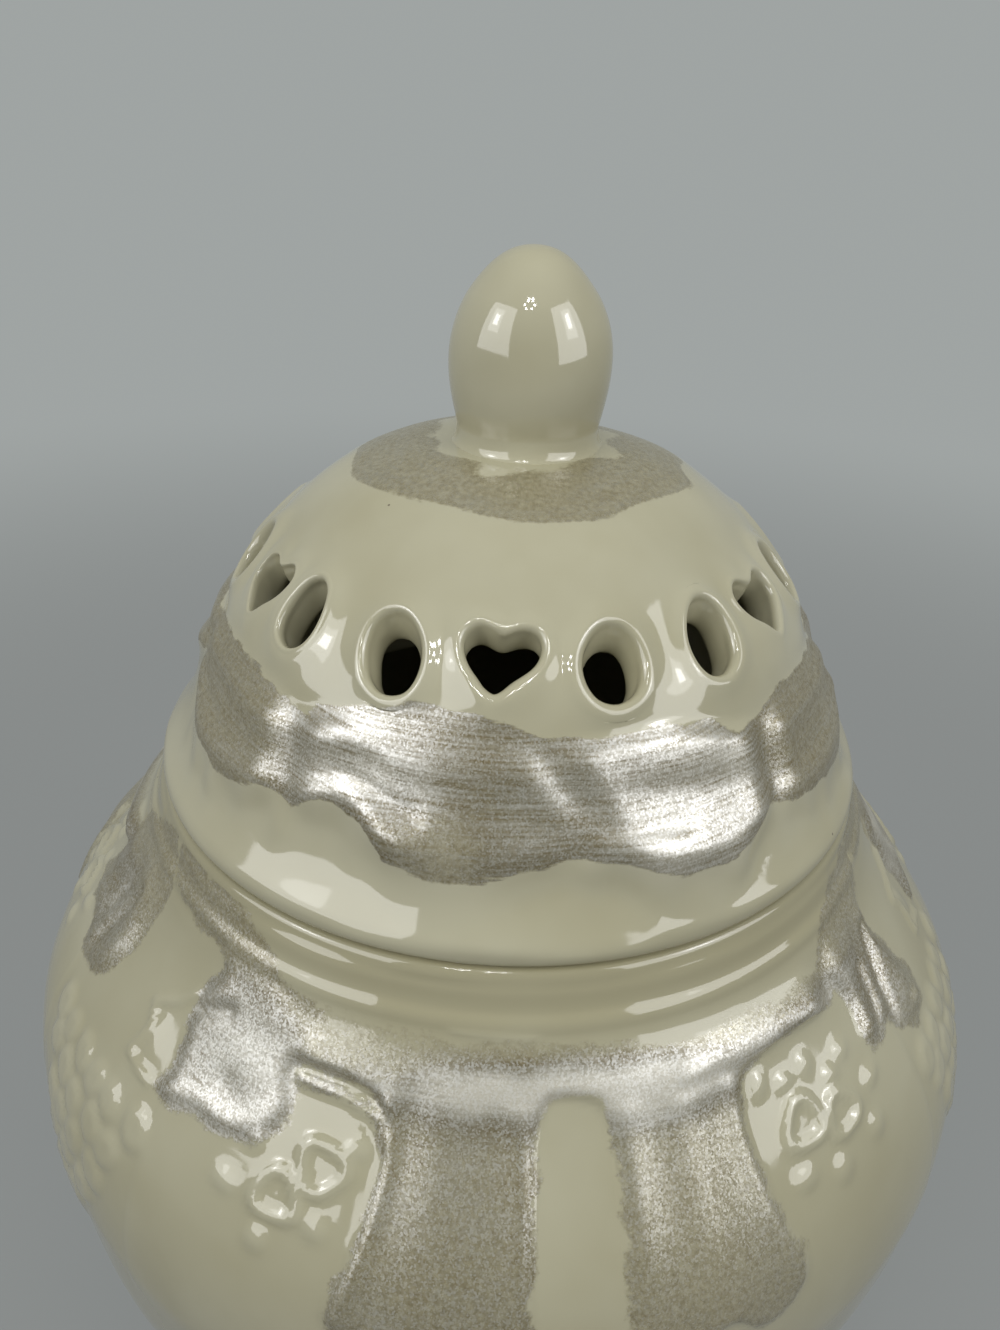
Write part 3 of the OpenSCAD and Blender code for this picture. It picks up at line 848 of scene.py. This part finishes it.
def bunch(x, y):
    """A bunch of small fruit that narrows downwards, below a spray, each with a dimple."""
    fruit = np.zeros(x.shape)
    draw = np.random.default_rng(31)
    rows, pitch, drop = 6, 5.2, 5.4
    for row in range(rows):
        for k in range(rows - row):
            across = (k - (rows - 1 - row) / 2) * pitch + draw.uniform(-0.8, 0.8)
            middle = (across / DEGREE_MM, -33 - row * drop + draw.uniform(-0.8, 0.8))
            size, lean = draw.uniform(2.5, 3), draw.uniform(-25, 25)
            berry = dome(x, y, middle, size, size * 1.35, 1, lean) - dome(x, y, middle, 1.3, 2, 0.3, lean)
            fruit = soft_max(fruit, berry, 0.15)
    return fruit


print(f"leaves of {len(blunt_leaf)}, {len(fingered_leaf)} and {len(right_leaf)} eased points")

# %% [markdown]
# The lustre is dabbed on the jar more loosely than on the lid. On a swag it lies thickest along the swell
# of the cloth, most of all in the middle, and runs dry towards the upper edge. On a spray it lies in two
# round patches, over the scroll and over the fingers. These two functions give that thickness.

# %% Paint of the shoulder
def swag_coat(x, from_lip):
    to_right = soft_step(0, 20, x)
    heart = -15.4 - 1.2 * to_right
    brushed = 0.28 + 0.32 * to_right + soft_step(27, 9, np.abs(x))
    brushed = brushed * np.exp(-((from_lip - heart) / 3.2) ** 2)
    low = soft_step(-14, -18, from_lip)
    brushed += 0.08 * soft_step(-9.4, -12.4, from_lip) + 0.28 * low
    return brushed + 0.08 * low * soft_step(12, -6, x)


def spray_coat(x, y, inside):
    thin = np.where(inside > -1, 0.36, 0)
    scroll = dome(x, y, (19.4, -21), 17, 17, 0.95)
    fingers = dome(x, y, (-14, -21), 16, 17, 0.62)
    return np.maximum(np.maximum(thin, scroll), fingers)


print(f"paint in a swag's middle {swag_coat(np.zeros(1), np.full(1, -15.4))[0]:.2f} thick")

# %% [markdown]
# Now the drawings go on to the jar, three times round. Every point of the shoulder finds its place in the
# panel and in the spray next to it, takes the height that is drawn there, and the tallest form wins with a
# filled corner. Only the points near a form are worked out, which keeps the step short.

# %% Relief of the shoulder
PANELS = 3
PANEL_STEP = 360 / PANELS
FIRST_PANEL, PANEL_HALF = 8.7, 56
FIRST_SPRAY, SPRAY_HALF = 69, 44
FLOWERS = [((27, -26.4), 4), ((32.4, -28), 3.6), ((-26, -26), 4), ((-30, -30), 3.8)]

points, normals, turns, radii, heights = skin_of(jar)
wall_radii = np.interp(heights + lip_z, wall_line[:, 1], wall_line[:, 0])
on_shoulder = (radii > wall_radii - 1) & (heights > -RELIEF_DEPTH - 0.5) & (heights < -2.5)
shoulder_turns, shoulder_heights = turns[on_shoulder], heights[on_shoulder]
up = up_wall(shoulder_heights)
raised = np.zeros(len(up))
paint = np.full(len(up), -3.0)
coat = np.zeros(len(up))
wander = hand_swells(points[on_shoulder], 6, 0.4, 17)


def across_from(first, k, half):
    """Millimetres across from the middle of the k-th form, and the points that are near enough."""
    x = ((shoulder_turns - first - k * PANEL_STEP + 180) % 360 - 180) * DEGREE_MM
    near = np.abs(x) < half
    return x[near], up[near], near


for k in range(PANELS):
    x, y, near = across_from(FIRST_PANEL, k, PANEL_HALF)
    cloth, cloth_inside = swag(x, y)
    for middle, size in FLOWERS:
        cloth = soft_max(cloth, rosette(x, y, middle, size), 0.4)
    raised[near] = soft_max(raised[near], soft_max(cloth, buds(x, y), 0.3), 0.4)
    paint[near] = np.maximum(paint[near], cloth_inside)
    coat[near] = np.maximum(coat[near], swag_coat(x, shoulder_heights[near]))
    x, y, near = across_from(FIRST_SPRAY, k, SPRAY_HALF)
    leaf, leaf_inside = spray(x, y, fingered_leaf if k == 0 else blunt_leaf)
    raised[near] = soft_max(raised[near], soft_max(leaf, bunch(x, y), 0.3), 0.4)
    paint[near] = np.maximum(paint[near], leaf_inside)
    coat[near] = np.maximum(coat[near], spray_coat(x, y, leaf_inside))
paint = np.clip(paint + wander, -3, 3)
fade_ends = soft_step(-RELIEF_DEPTH, -56, shoulder_heights)
fade_ends = fade_ends * (1 - soft_step(-4.5, -2.5, shoulder_heights))
print(f"{on_shoulder.sum()} points on the shoulder, relief up to {raised.max():.2f} mm")

# %% [markdown]
# The sculpted heights, the paint and its thickness cover only the shoulder; the rest of the jar gets plain
# values. The belly keeps its long swells. The relief that the jar's material reads is lowered all over, and
# most in the neck under the lid's lip. This is painted shade: the jar's cream is darker and more olive than
# the lid's, and a painted shadow lies in the neck.

# %% Sculpt the jar
# Painted shade: the glaze colour of the whole jar is darkened, and a painted shadow lies in the neck under
# the lid's lip
JAR_PAINTED_SHADE, NECK_PAINTED_SHADOW = 0.5, 0.7

jar_heights, jar_paint = np.zeros(len(points)), np.full(len(points), -3.0)
jar_heights[on_shoulder] = np.maximum(raised, 0) * fade_ends
jar_paint[on_shoulder] = paint
jar_coat = np.zeros(len(points))
jar_coat[on_shoulder] = coat
wide_parts = (heights > -148) & (heights < -3) & (radii > 54)
jar_heights = jar_heights + np.where(wide_parts, hand_swells(points, 30, 0.12, 23), 0)
press_out(jar, points, normals, jar_heights)
store(jar, "lustre", jar_paint)
store(jar, "coat", jar_coat)
# The relief that the glaze reads, lowered by the jar's painted shade and the neck's painted shadow
store(jar, "relief", jar_heights - JAR_PAINTED_SHADE - NECK_PAINTED_SHADOW * np.exp(-((heights + 4.5) / 5) ** 2))
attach(jar, "jar")
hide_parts(*(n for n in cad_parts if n.startswith(("jar_", "swag_", "spray_", "fruit_"))))
print(f"shoulder relief up to {jar_heights.max():.2f} mm")

# %% [markdown]
# Two finishes cover the vase, and both are built from nodes. A few helpers keep that short: each adds one
# node, feeds its sockets with links or plain values, and hands on its output.

# %% Node helpers
def add(tree, kind, **settings):
    node = tree.nodes.new(kind)
    for name, value in settings.items():
        setattr(node, name, value)
    return node


def feed(tree, sockets, values):
    """Links each socket to another one, or sets it to a plain value."""
    for socket, value in zip(sockets, values):
        if isinstance(value, bpy.types.NodeSocket):
            tree.links.new(value, socket)
        elif value is not None:
            socket.default_value = value


def calc(tree, operation, a, b=None, c=None, clamp=False):
    node = add(tree, "ShaderNodeMath", operation=operation, use_clamp=clamp)
    feed(tree, node.inputs, (a, b, c))
    return node.outputs[0]


def mix_colour(tree, share, a, b):
    node = add(tree, "ShaderNodeMix", data_type="RGBA")
    feed(tree, [node.inputs[k] for k in (0, 6, 7)], (share, a, b))
    return node.outputs[2]


def mix_value(tree, share, a, b):
    node = add(tree, "ShaderNodeMix", data_type="FLOAT")
    feed(tree, [node.inputs[k] for k in (0, 2, 3)], (share, a, b))
    return node.outputs[0]


def smooth_range(tree, value, low, high):
    """0 at `low` and 1 at `high`, with eased ends."""
    node = add(tree, "ShaderNodeMapRange", interpolation_type="SMOOTHSTEP")
    feed(tree, [node.inputs[label] for label in ("Value", "From Min", "From Max")], (value, low, high))
    return node.outputs["Result"]


def noise(tree, place, size, detail=2.0, stretch=(1, 1, 1)):
    """Noise whose lumps are about `size` millimetres across."""
    mapping = add(tree, "ShaderNodeMapping", vector_type="POINT")
    tree.links.new(place, mapping.inputs["Vector"])
    mapping.inputs["Scale"].default_value = [s / (size * MM) for s in stretch]
    texture = add(tree, "ShaderNodeTexNoise")
    tree.links.new(mapping.outputs["Vector"], texture.inputs["Vector"])
    texture.inputs["Scale"].default_value = 1
    texture.inputs["Detail"].default_value = detail
    return texture.outputs["Fac"]


def new_group(name, inputs, outputs):
    """A shader node group with named sockets, and its two end nodes."""
    group = bpy.data.node_groups.new(name, "ShaderNodeTree")
    for label, kind in inputs:
        group.interface.new_socket(label, in_out="INPUT", socket_type=kind)
    for label, kind in outputs:
        group.interface.new_socket(label, in_out="OUTPUT", socket_type=kind)
    return group, add(group, "NodeGroupInput"), add(group, "NodeGroupOutput")


print("node helpers ready")

# %% [markdown]
# The glaze is a thick cream glass over a pale body. It turns darker and greener where the relief it reads is
# low, partly as glaze pooled in hollows and partly as painted shade; it thins over raised forms, has tiny
# specks, and shines. It is a node group, so that every material can use it with its own relief, and a slow
# noise keeps large plain areas from looking like paint.

# %% Cream glaze
CREAM = (0.455, 0.435, 0.305, 1)
# Darker, greener cream for pooled glaze and for painted shade; the slow clouds also lean towards it
CREAM_POOLED_AND_SHADED = (0.345, 0.318, 0.19, 1)
CREAM_THIN = (0.53, 0.515, 0.40, 1)
SPECK = (0.10, 0.075, 0.045, 1)

glaze_group, glaze_in, glaze_out = new_group(
    "cream_glaze", [("Relief", "NodeSocketFloat")],
    [("Color", "NodeSocketColor"), ("Roughness", "NodeSocketFloat"), ("Height", "NodeSocketFloat")])
tree = glaze_group
place = add(tree, "ShaderNodeTexCoord").outputs["Object"]
clouds = smooth_range(tree, noise(tree, place, 24, detail=3), 0.35, 0.7)
colour = mix_colour(tree, calc(tree, "MULTIPLY", clouds, 0.45), CREAM, CREAM_POOLED_AND_SHADED)
# Darker and greener where the relief is low: partly glaze pooled in hollows, partly painted shade
pooled_and_shaded = smooth_range(tree, glaze_in.outputs["Relief"], 0.2, -1)
colour = mix_colour(tree, calc(tree, "MULTIPLY", pooled_and_shaded, 0.8), colour, CREAM_POOLED_AND_SHADED)
thin = smooth_range(tree, glaze_in.outputs["Relief"], 0.6, 3)
colour = mix_colour(tree, calc(tree, "MULTIPLY", thin, 0.5), colour, CREAM_THIN)
cells = add(tree, "ShaderNodeTexVoronoi", feature="F1")
cells.inputs["Scale"].default_value = 1 / (6 * MM)
tree.links.new(place, cells.inputs["Vector"])
speck = calc(tree, "LESS_THAN", cells.outputs["Distance"], 0.035)
chosen = add(tree, "ShaderNodeSeparateColor")
tree.links.new(cells.outputs["Color"], chosen.inputs["Color"])
speck = calc(tree, "MULTIPLY", speck, calc(tree, "LESS_THAN", chosen.outputs[0], 0.16))
colour = mix_colour(tree, calc(tree, "MULTIPLY", speck, 0.75), colour, SPECK)
tree.links.new(colour, glaze_out.inputs["Color"])
gloss = calc(tree, "MULTIPLY_ADD", noise(tree, place, 9), 0.06, 0.035)
tree.links.new(gloss, glaze_out.inputs["Roughness"])
tree.links.new(noise(tree, place, 2.6, detail=1), glaze_out.inputs["Height"])
print("glaze group:", len(tree.nodes), "nodes")

# %% [markdown]
# Silver lustre is a film of metal flakes, laid over the glaze. It is brushed on the lid in long strokes
# with a crisp edge, and dabbed on the jar with a feathered one; the Streaks input says which. Strokes run
# round the vase, so their noise is squeezed upright. First comes where the film lies, and how thickly.

# %% Where the lustre lies
lustre_group, lustre_in, lustre_out = new_group(
    "silver_lustre",
    [("Paint", "NodeSocketFloat"), ("Coat", "NodeSocketFloat"), ("Streaks", "NodeSocketFloat")],
    [("Mask", "NodeSocketFloat"), ("Color", "NodeSocketColor"), ("Metallic", "NodeSocketFloat"),
     ("Roughness", "NodeSocketFloat"), ("Film", "NodeSocketFloat"), ("Height", "NodeSocketFloat"),
     ("Normal", "NodeSocketVector")])
tree = lustre_group
place = add(tree, "ShaderNodeTexCoord").outputs["Object"]
strokes = noise(tree, place, 9, detail=4, stretch=(1, 1, 26))
grain = noise(tree, place, 0.8, detail=2)
patches = noise(tree, place, 12, detail=2)
edge = calc(tree, "MULTIPLY_ADD", calc(tree, "SUBTRACT", strokes, 0.5), 0.9, lustre_in.outputs["Paint"])
feather = calc(tree, "MULTIPLY_ADD", lustre_in.outputs["Streaks"], -0.95, 1.1)
ragged = calc(tree, "MULTIPLY", calc(tree, "MULTIPLY", feather, 1.8), calc(tree, "SUBTRACT", grain, 0.5))
edge = calc(tree, "ADD", edge, ragged)
grainy = calc(tree, "MULTIPLY_ADD", grain, 0.8, -0.4)
veil = calc(tree, "MULTIPLY_ADD", lustre_in.outputs["Coat"], 1.6, grainy, clamp=True)
mask = calc(tree, "MULTIPLY", smooth_range(tree, edge, -0.12, feather), veil)
dabs = calc(tree, "MULTIPLY_ADD", lustre_in.outputs["Streaks"], -0.8, 1.4)
dabs = calc(tree, "MULTIPLY", calc(tree, "SUBTRACT", patches, 0.5), dabs)
thickness = calc(tree, "ADD", lustre_in.outputs["Coat"], dabs)
thickness = calc(tree, "MULTIPLY_ADD", calc(tree, "SUBTRACT", strokes, 0.5), 0.6, thickness)
thickness = calc(tree, "MULTIPLY", thickness, smooth_range(tree, edge, -0.9, 0.6))
tree.links.new(mask, lustre_out.inputs["Mask"])
print("lustre mask and thickness:", len(tree.nodes), "nodes")

# %% [markdown]
# Face on to a lamp the film flashes white; elsewhere the warm glaze shows between the flakes and it looks
# like taupe silk. Where the paint is thick it turns to pale pearl. Random cells a quarter of a millimetre
# wide stand for the flakes, and more of them are metal where the paint is thick. The flash is a coat whose
# weight follows thickness, flakes and strokes, because a coat keeps the smooth normal of the surface.

# %% How the lustre shines
FLAKE = 0.24
SILVER = (0.178, 0.148, 0.072, 1)
TAUPE = (0.155, 0.118, 0.046, 1)
PEARL = (0.54, 0.505, 0.40, 1)

flakes = add(tree, "ShaderNodeTexVoronoi", feature="F1")
flakes.inputs["Scale"].default_value = 1 / (FLAKE * MM)
tree.links.new(place, flakes.inputs["Vector"])
draws = add(tree, "ShaderNodeSeparateColor")
tree.links.new(flakes.outputs["Color"], draws.inputs["Color"])
metal = smooth_range(tree, calc(tree, "SUBTRACT", thickness, draws.outputs[0]), -1, 0.9)
sparkle = calc(tree, "POWER", draws.outputs[2], 2)
sparkle_share = calc(tree, "MULTIPLY_ADD", lustre_in.outputs["Streaks"], -0.5, 1.15)
laid = calc(tree, "MINIMUM", thickness, 0.8)
film = calc(tree, "MULTIPLY_ADD", laid, 0.68, calc(tree, "MULTIPLY_ADD", sparkle, sparkle_share, -0.2))
streaks = calc(tree, "MULTIPLY", calc(tree, "SUBTRACT", strokes, 0.5), lustre_in.outputs["Streaks"])
film = calc(tree, "MULTIPLY_ADD", streaks, 1.2, film, clamp=True)
tree.links.new(calc(tree, "MULTIPLY", film, mask), lustre_out.inputs["Film"])
bristle_marks = noise(tree, place, 6, detail=3, stretch=(1, 1, 14))
tree.links.new(calc(tree, "MULTIPLY", bristle_marks, 4), lustre_out.inputs["Height"])
colour = mix_colour(tree, metal, TAUPE, SILVER)
pearly = smooth_range(tree, thickness, 0.55, 1.3)
colour = mix_colour(tree, pearly, colour, PEARL)
tree.links.new(colour, lustre_out.inputs["Color"])
shine = calc(tree, "MULTIPLY_ADD", pearly, -0.7, 1)
metallic = calc(tree, "MULTIPLY", calc(tree, "MULTIPLY_ADD", metal, 0.4, 0.1), shine)
tree.links.new(metallic, lustre_out.inputs["Metallic"])
tree.links.new(calc(tree, "MULTIPLY_ADD", draws.outputs[1], 0.12, 0.36), lustre_out.inputs["Roughness"])
print("lustre colour and shine:", len(tree.nodes), "nodes")

# %% [markdown]
# Each flake is turned its own way, which makes the film glitter instead of shining like a mirror. A flake's
# random colour, less its middle value, is a small random arrow; added to the surface's normal it tilts it.

# %% Flakes turned their own way
FLAKE_TILT = 0.2

scatter = add(tree, "ShaderNodeVectorMath", operation="MULTIPLY_ADD")
tree.links.new(flakes.outputs["Color"], scatter.inputs[0])
scatter.inputs[1].default_value = [FLAKE_TILT] * 3
scatter.inputs[2].default_value = [-FLAKE_TILT / 2] * 3
spread = add(tree, "ShaderNodeVectorMath", operation="SCALE")
tree.links.new(scatter.outputs[0], spread.inputs[0])
tree.links.new(mask, spread.inputs["Scale"])
turned = add(tree, "ShaderNodeVectorMath", operation="ADD")
tree.links.new(add(tree, "ShaderNodeNewGeometry").outputs["Normal"], turned.inputs[0])
tree.links.new(spread.outputs[0], turned.inputs[1])
unit = add(tree, "ShaderNodeVectorMath", operation="NORMALIZE")
tree.links.new(turned.outputs[0], unit.inputs[0])
tree.links.new(unit.outputs[0], lustre_out.inputs["Normal"])
print("lustre group:", len(tree.nodes), "nodes")

# %% [markdown]
# Each piece has one material: glaze, with lustre mixed in by its mask where there is any. Bump adds the
# glaze's faint ripple and the bristle marks. The lid's film is smoother than the jar's, so it flashes
# more sharply. The shader itself stays here, outside the groups, with its constants on its own sockets.

# %% Materials of the pieces
GLAZE_IOR = 1.8
FILM_IOR = 5
BRUSHED_ROUGHNESS, BRUSHED_STREAKS = 0.29, 0.8
DABBED_ROUGHNESS, DABBED_STREAKS = 0.4, 0.2


def read_attribute(tree, name):
    return add(tree, "ShaderNodeAttribute", attribute_name=name).outputs["Fac"]


def glazed_material(name, streaks=None, film_roughness=None):
    """Glaze alone, or with lustre over it when `streaks` is given."""
    material = bpy.data.materials.new(name)
    material.use_nodes = True
    tree = material.node_tree
    shader = tree.nodes["Principled BSDF"]
    shader.inputs["IOR"].default_value = GLAZE_IOR
    glaze = add(tree, "ShaderNodeGroup", node_tree=glaze_group)
    tree.links.new(read_attribute(tree, "relief"), glaze.inputs["Relief"])
    bump = add(tree, "ShaderNodeBump")
    bump.inputs["Strength"].default_value = 0.35
    bump.inputs["Distance"].default_value = 0.02 * MM
    colour, roughness, height = (glaze.outputs[name] for name in ("Color", "Roughness", "Height"))
    if streaks is not None:
        lustre = add(tree, "ShaderNodeGroup", node_tree=lustre_group)
        tree.links.new(read_attribute(tree, "lustre"), lustre.inputs["Paint"])
        tree.links.new(read_attribute(tree, "coat"), lustre.inputs["Coat"])
        lustre.inputs["Streaks"].default_value = streaks
        mask = lustre.outputs["Mask"]
        colour = mix_colour(tree, mask, colour, lustre.outputs["Color"])
        roughness = mix_value(tree, mask, roughness, lustre.outputs["Roughness"])
        height = mix_value(tree, mask, height, lustre.outputs["Height"])
        tree.links.new(calc(tree, "MULTIPLY", mask, lustre.outputs["Metallic"]), shader.inputs["Metallic"])
        tree.links.new(lustre.outputs["Normal"], bump.inputs["Normal"])
        tree.links.new(lustre.outputs["Film"], shader.inputs["Coat Weight"])
        shader.inputs["Coat IOR"].default_value = FILM_IOR
        shader.inputs["Coat Roughness"].default_value = film_roughness
    tree.links.new(height, bump.inputs["Height"])
    tree.links.new(colour, shader.inputs["Base Color"])
    tree.links.new(roughness, shader.inputs["Roughness"])
    tree.links.new(bump.outputs["Normal"], shader.inputs["Normal"])
    return material


brushed_lustre = glazed_material("brushed_lustre", BRUSHED_STREAKS, BRUSHED_ROUGHNESS)
dabbed_lustre = glazed_material("dabbed_lustre", DABBED_STREAKS, DABBED_ROUGHNESS)
plain_glaze = glazed_material("plain_glaze")
for piece, finish in ((jar, dabbed_lustre), (lid, brushed_lustre), (knob, plain_glaze)):
    piece.data.materials.clear()
    piece.data.materials.append(finish)
print("materials:", brushed_lustre.name, dabbed_lustre.name, plain_glaze.name)

# %% [markdown]
# The vase stands on a plain grey floor. A grey that had to be lit by the lamps would never be even, so the
# floor and the world show their own grey to the camera and to reflections, and only a little of the lamps'
# light. Near the vase the floor takes its shadow, and further out it fades into the backdrop.

# %% Floor
BACKDROP = (0.35, 0.373, 0.367, 1)
FLOOR_SHADE = (0.13, 0.135, 0.134, 1)
FLOOR_GLOW = 0.45
FLOOR_NEAR, FLOOR_FAR, FLOOR_R = 0.28, 0.8, 4


def seen_directly(tree):
    """1 for camera, glossy and transmission rays, 0 for the rays that carry light."""
    path = add(tree, "ShaderNodeLightPath")
    first = calc(tree, "MAXIMUM", path.outputs["Is Camera Ray"], path.outputs["Is Glossy Ray"])
    return calc(tree, "MAXIMUM", first, path.outputs["Is Transmission Ray"])


floor_mesh = bmesh.new()
bmesh.ops.create_circle(floor_mesh, cap_ends=True, segments=96, radius=FLOOR_R)
floor = piece_from("floor", floor_mesh)
floor_paint = bpy.data.materials.new("floor_grey")
floor_paint.use_nodes = True
shader = floor_paint.node_tree.nodes["Principled BSDF"]
shader.inputs["Roughness"].default_value = 0.8
shader.inputs["Specular IOR Level"].default_value = 0
shader.inputs["Emission Color"].default_value = BACKDROP
tree = floor_paint.node_tree
reach = add(tree, "ShaderNodeVectorMath", operation="LENGTH")
tree.links.new(add(tree, "ShaderNodeTexCoord").outputs["Object"], reach.inputs[0])
far = smooth_range(tree, reach.outputs["Value"], FLOOR_NEAR, FLOOR_FAR)
tree.links.new(mix_colour(tree, far, FLOOR_SHADE, (0, 0, 0, 1)), shader.inputs["Base Color"])
glow = calc(tree, "MULTIPLY_ADD", far, 1 - FLOOR_GLOW, FLOOR_GLOW)
tree.links.new(calc(tree, "MULTIPLY", seen_directly(tree), glow), shader.inputs["Emission Strength"])
floor.data.materials.append(floor_paint)
print(f"floor fades from {FLOOR_NEAR} to {FLOOR_FAR} m")

# %% [markdown]
# The world gives two things: a dim even light that fills the shadows, and the backdrop's grey for the
# camera and for reflections. A Mix Shader chooses between them by the kind of ray.

# %% World
AMBIENT = 0.22

world = bpy.data.worlds.new("studio")
world.use_nodes = True
bpy.context.scene.world = world
tree = world.node_tree
ambient = tree.nodes["Background"]
ambient.inputs["Color"].default_value = (1, 1, 1, 1)
ambient.inputs["Strength"].default_value = AMBIENT
backdrop = add(tree, "ShaderNodeBackground")
backdrop.inputs["Color"].default_value = BACKDROP
choose = add(tree, "ShaderNodeMixShader")
tree.links.new(seen_directly(tree), choose.inputs[0])
tree.links.new(ambient.outputs[0], choose.inputs[1])
tree.links.new(backdrop.outputs[0], choose.inputs[2])
tree.links.new(choose.outputs[0], tree.nodes["World Output"].inputs["Surface"])
print(f"world light {AMBIENT}")

# %% [markdown]
# Two upright softboxes stand left and right of the camera. Their reflections are the bright windows on the
# knob and the lid, so their places and sizes come from those windows. Each has a brighter middle, where its
# bulb sits behind the cloth. A ring of six small lamps above the camera makes the dots of light on the
# knob, and two fills that no reflection shows lift the top and the back.

# %% Lamps
KNOB_PLACE = Vector((0, 0, 215)) * MM
UPRIGHT_BELOW = 30
RING_LAMPS = 6


def softbox(name, turn, rise, distance, size, brightness, mirrored=True):
    """A rectangular lamp turned to the vase; its brightness is its radiance, where white paper is 1."""
    lamp = bpy.data.lights.new(name, "AREA")
    lamp.shape = "RECTANGLE"
    lamp.size, lamp.size_y = size
    lamp.energy = brightness * pi * size[0] * size[1]
    holder = bpy.data.objects.new(name, lamp)
    level = cos(radians(rise))
    way = Vector((sin(radians(turn)) * level, -cos(radians(turn)) * level, sin(radians(rise))))
    holder.location = KNOB_PLACE + way * distance
    # A low lamp stands upright on its stand, a high one leans over
    facing = Vector((way.x, way.y, 0 if rise < UPRIGHT_BELOW else way.z))
    holder.rotation_euler = facing.to_track_quat("Z", "Y").to_euler()
    holder.visible_camera = False
    holder.visible_glossy = mirrored
    bpy.context.scene.collection.objects.link(holder)


softbox("left_box", -53, 27, 0.72, (0.60, 0.58), 2.15)
softbox("right_box", 57, 27, 0.72, (0.57, 0.58), 2.25)
for name, turn, rise in (("left", -58, 28), ("right", 60, 28)):
    softbox(f"{name}_glow", turn, rise, 0.68, (0.20, 0.26), 1.4)
    softbox(f"{name}_bulb", turn, rise, 0.67, (0.09, 0.12), 5)
for k in range(RING_LAMPS):
    step = radians(360 / RING_LAMPS * k)
    softbox(f"ring_lamp_{k + 1}", -8 + 10 * cos(step), 49 + 6.5 * sin(step), 0.4, (0.016, 0.016), 40)
softbox("top_fill", 0, 85, 0.5, (0.5, 0.5), 1, mirrored=False)
softbox("back_fill", 180, 35, 1, (1, 1), 0.8, mirrored=False)

view = bpy.context.scene.view_settings
view.view_transform = "Standard"
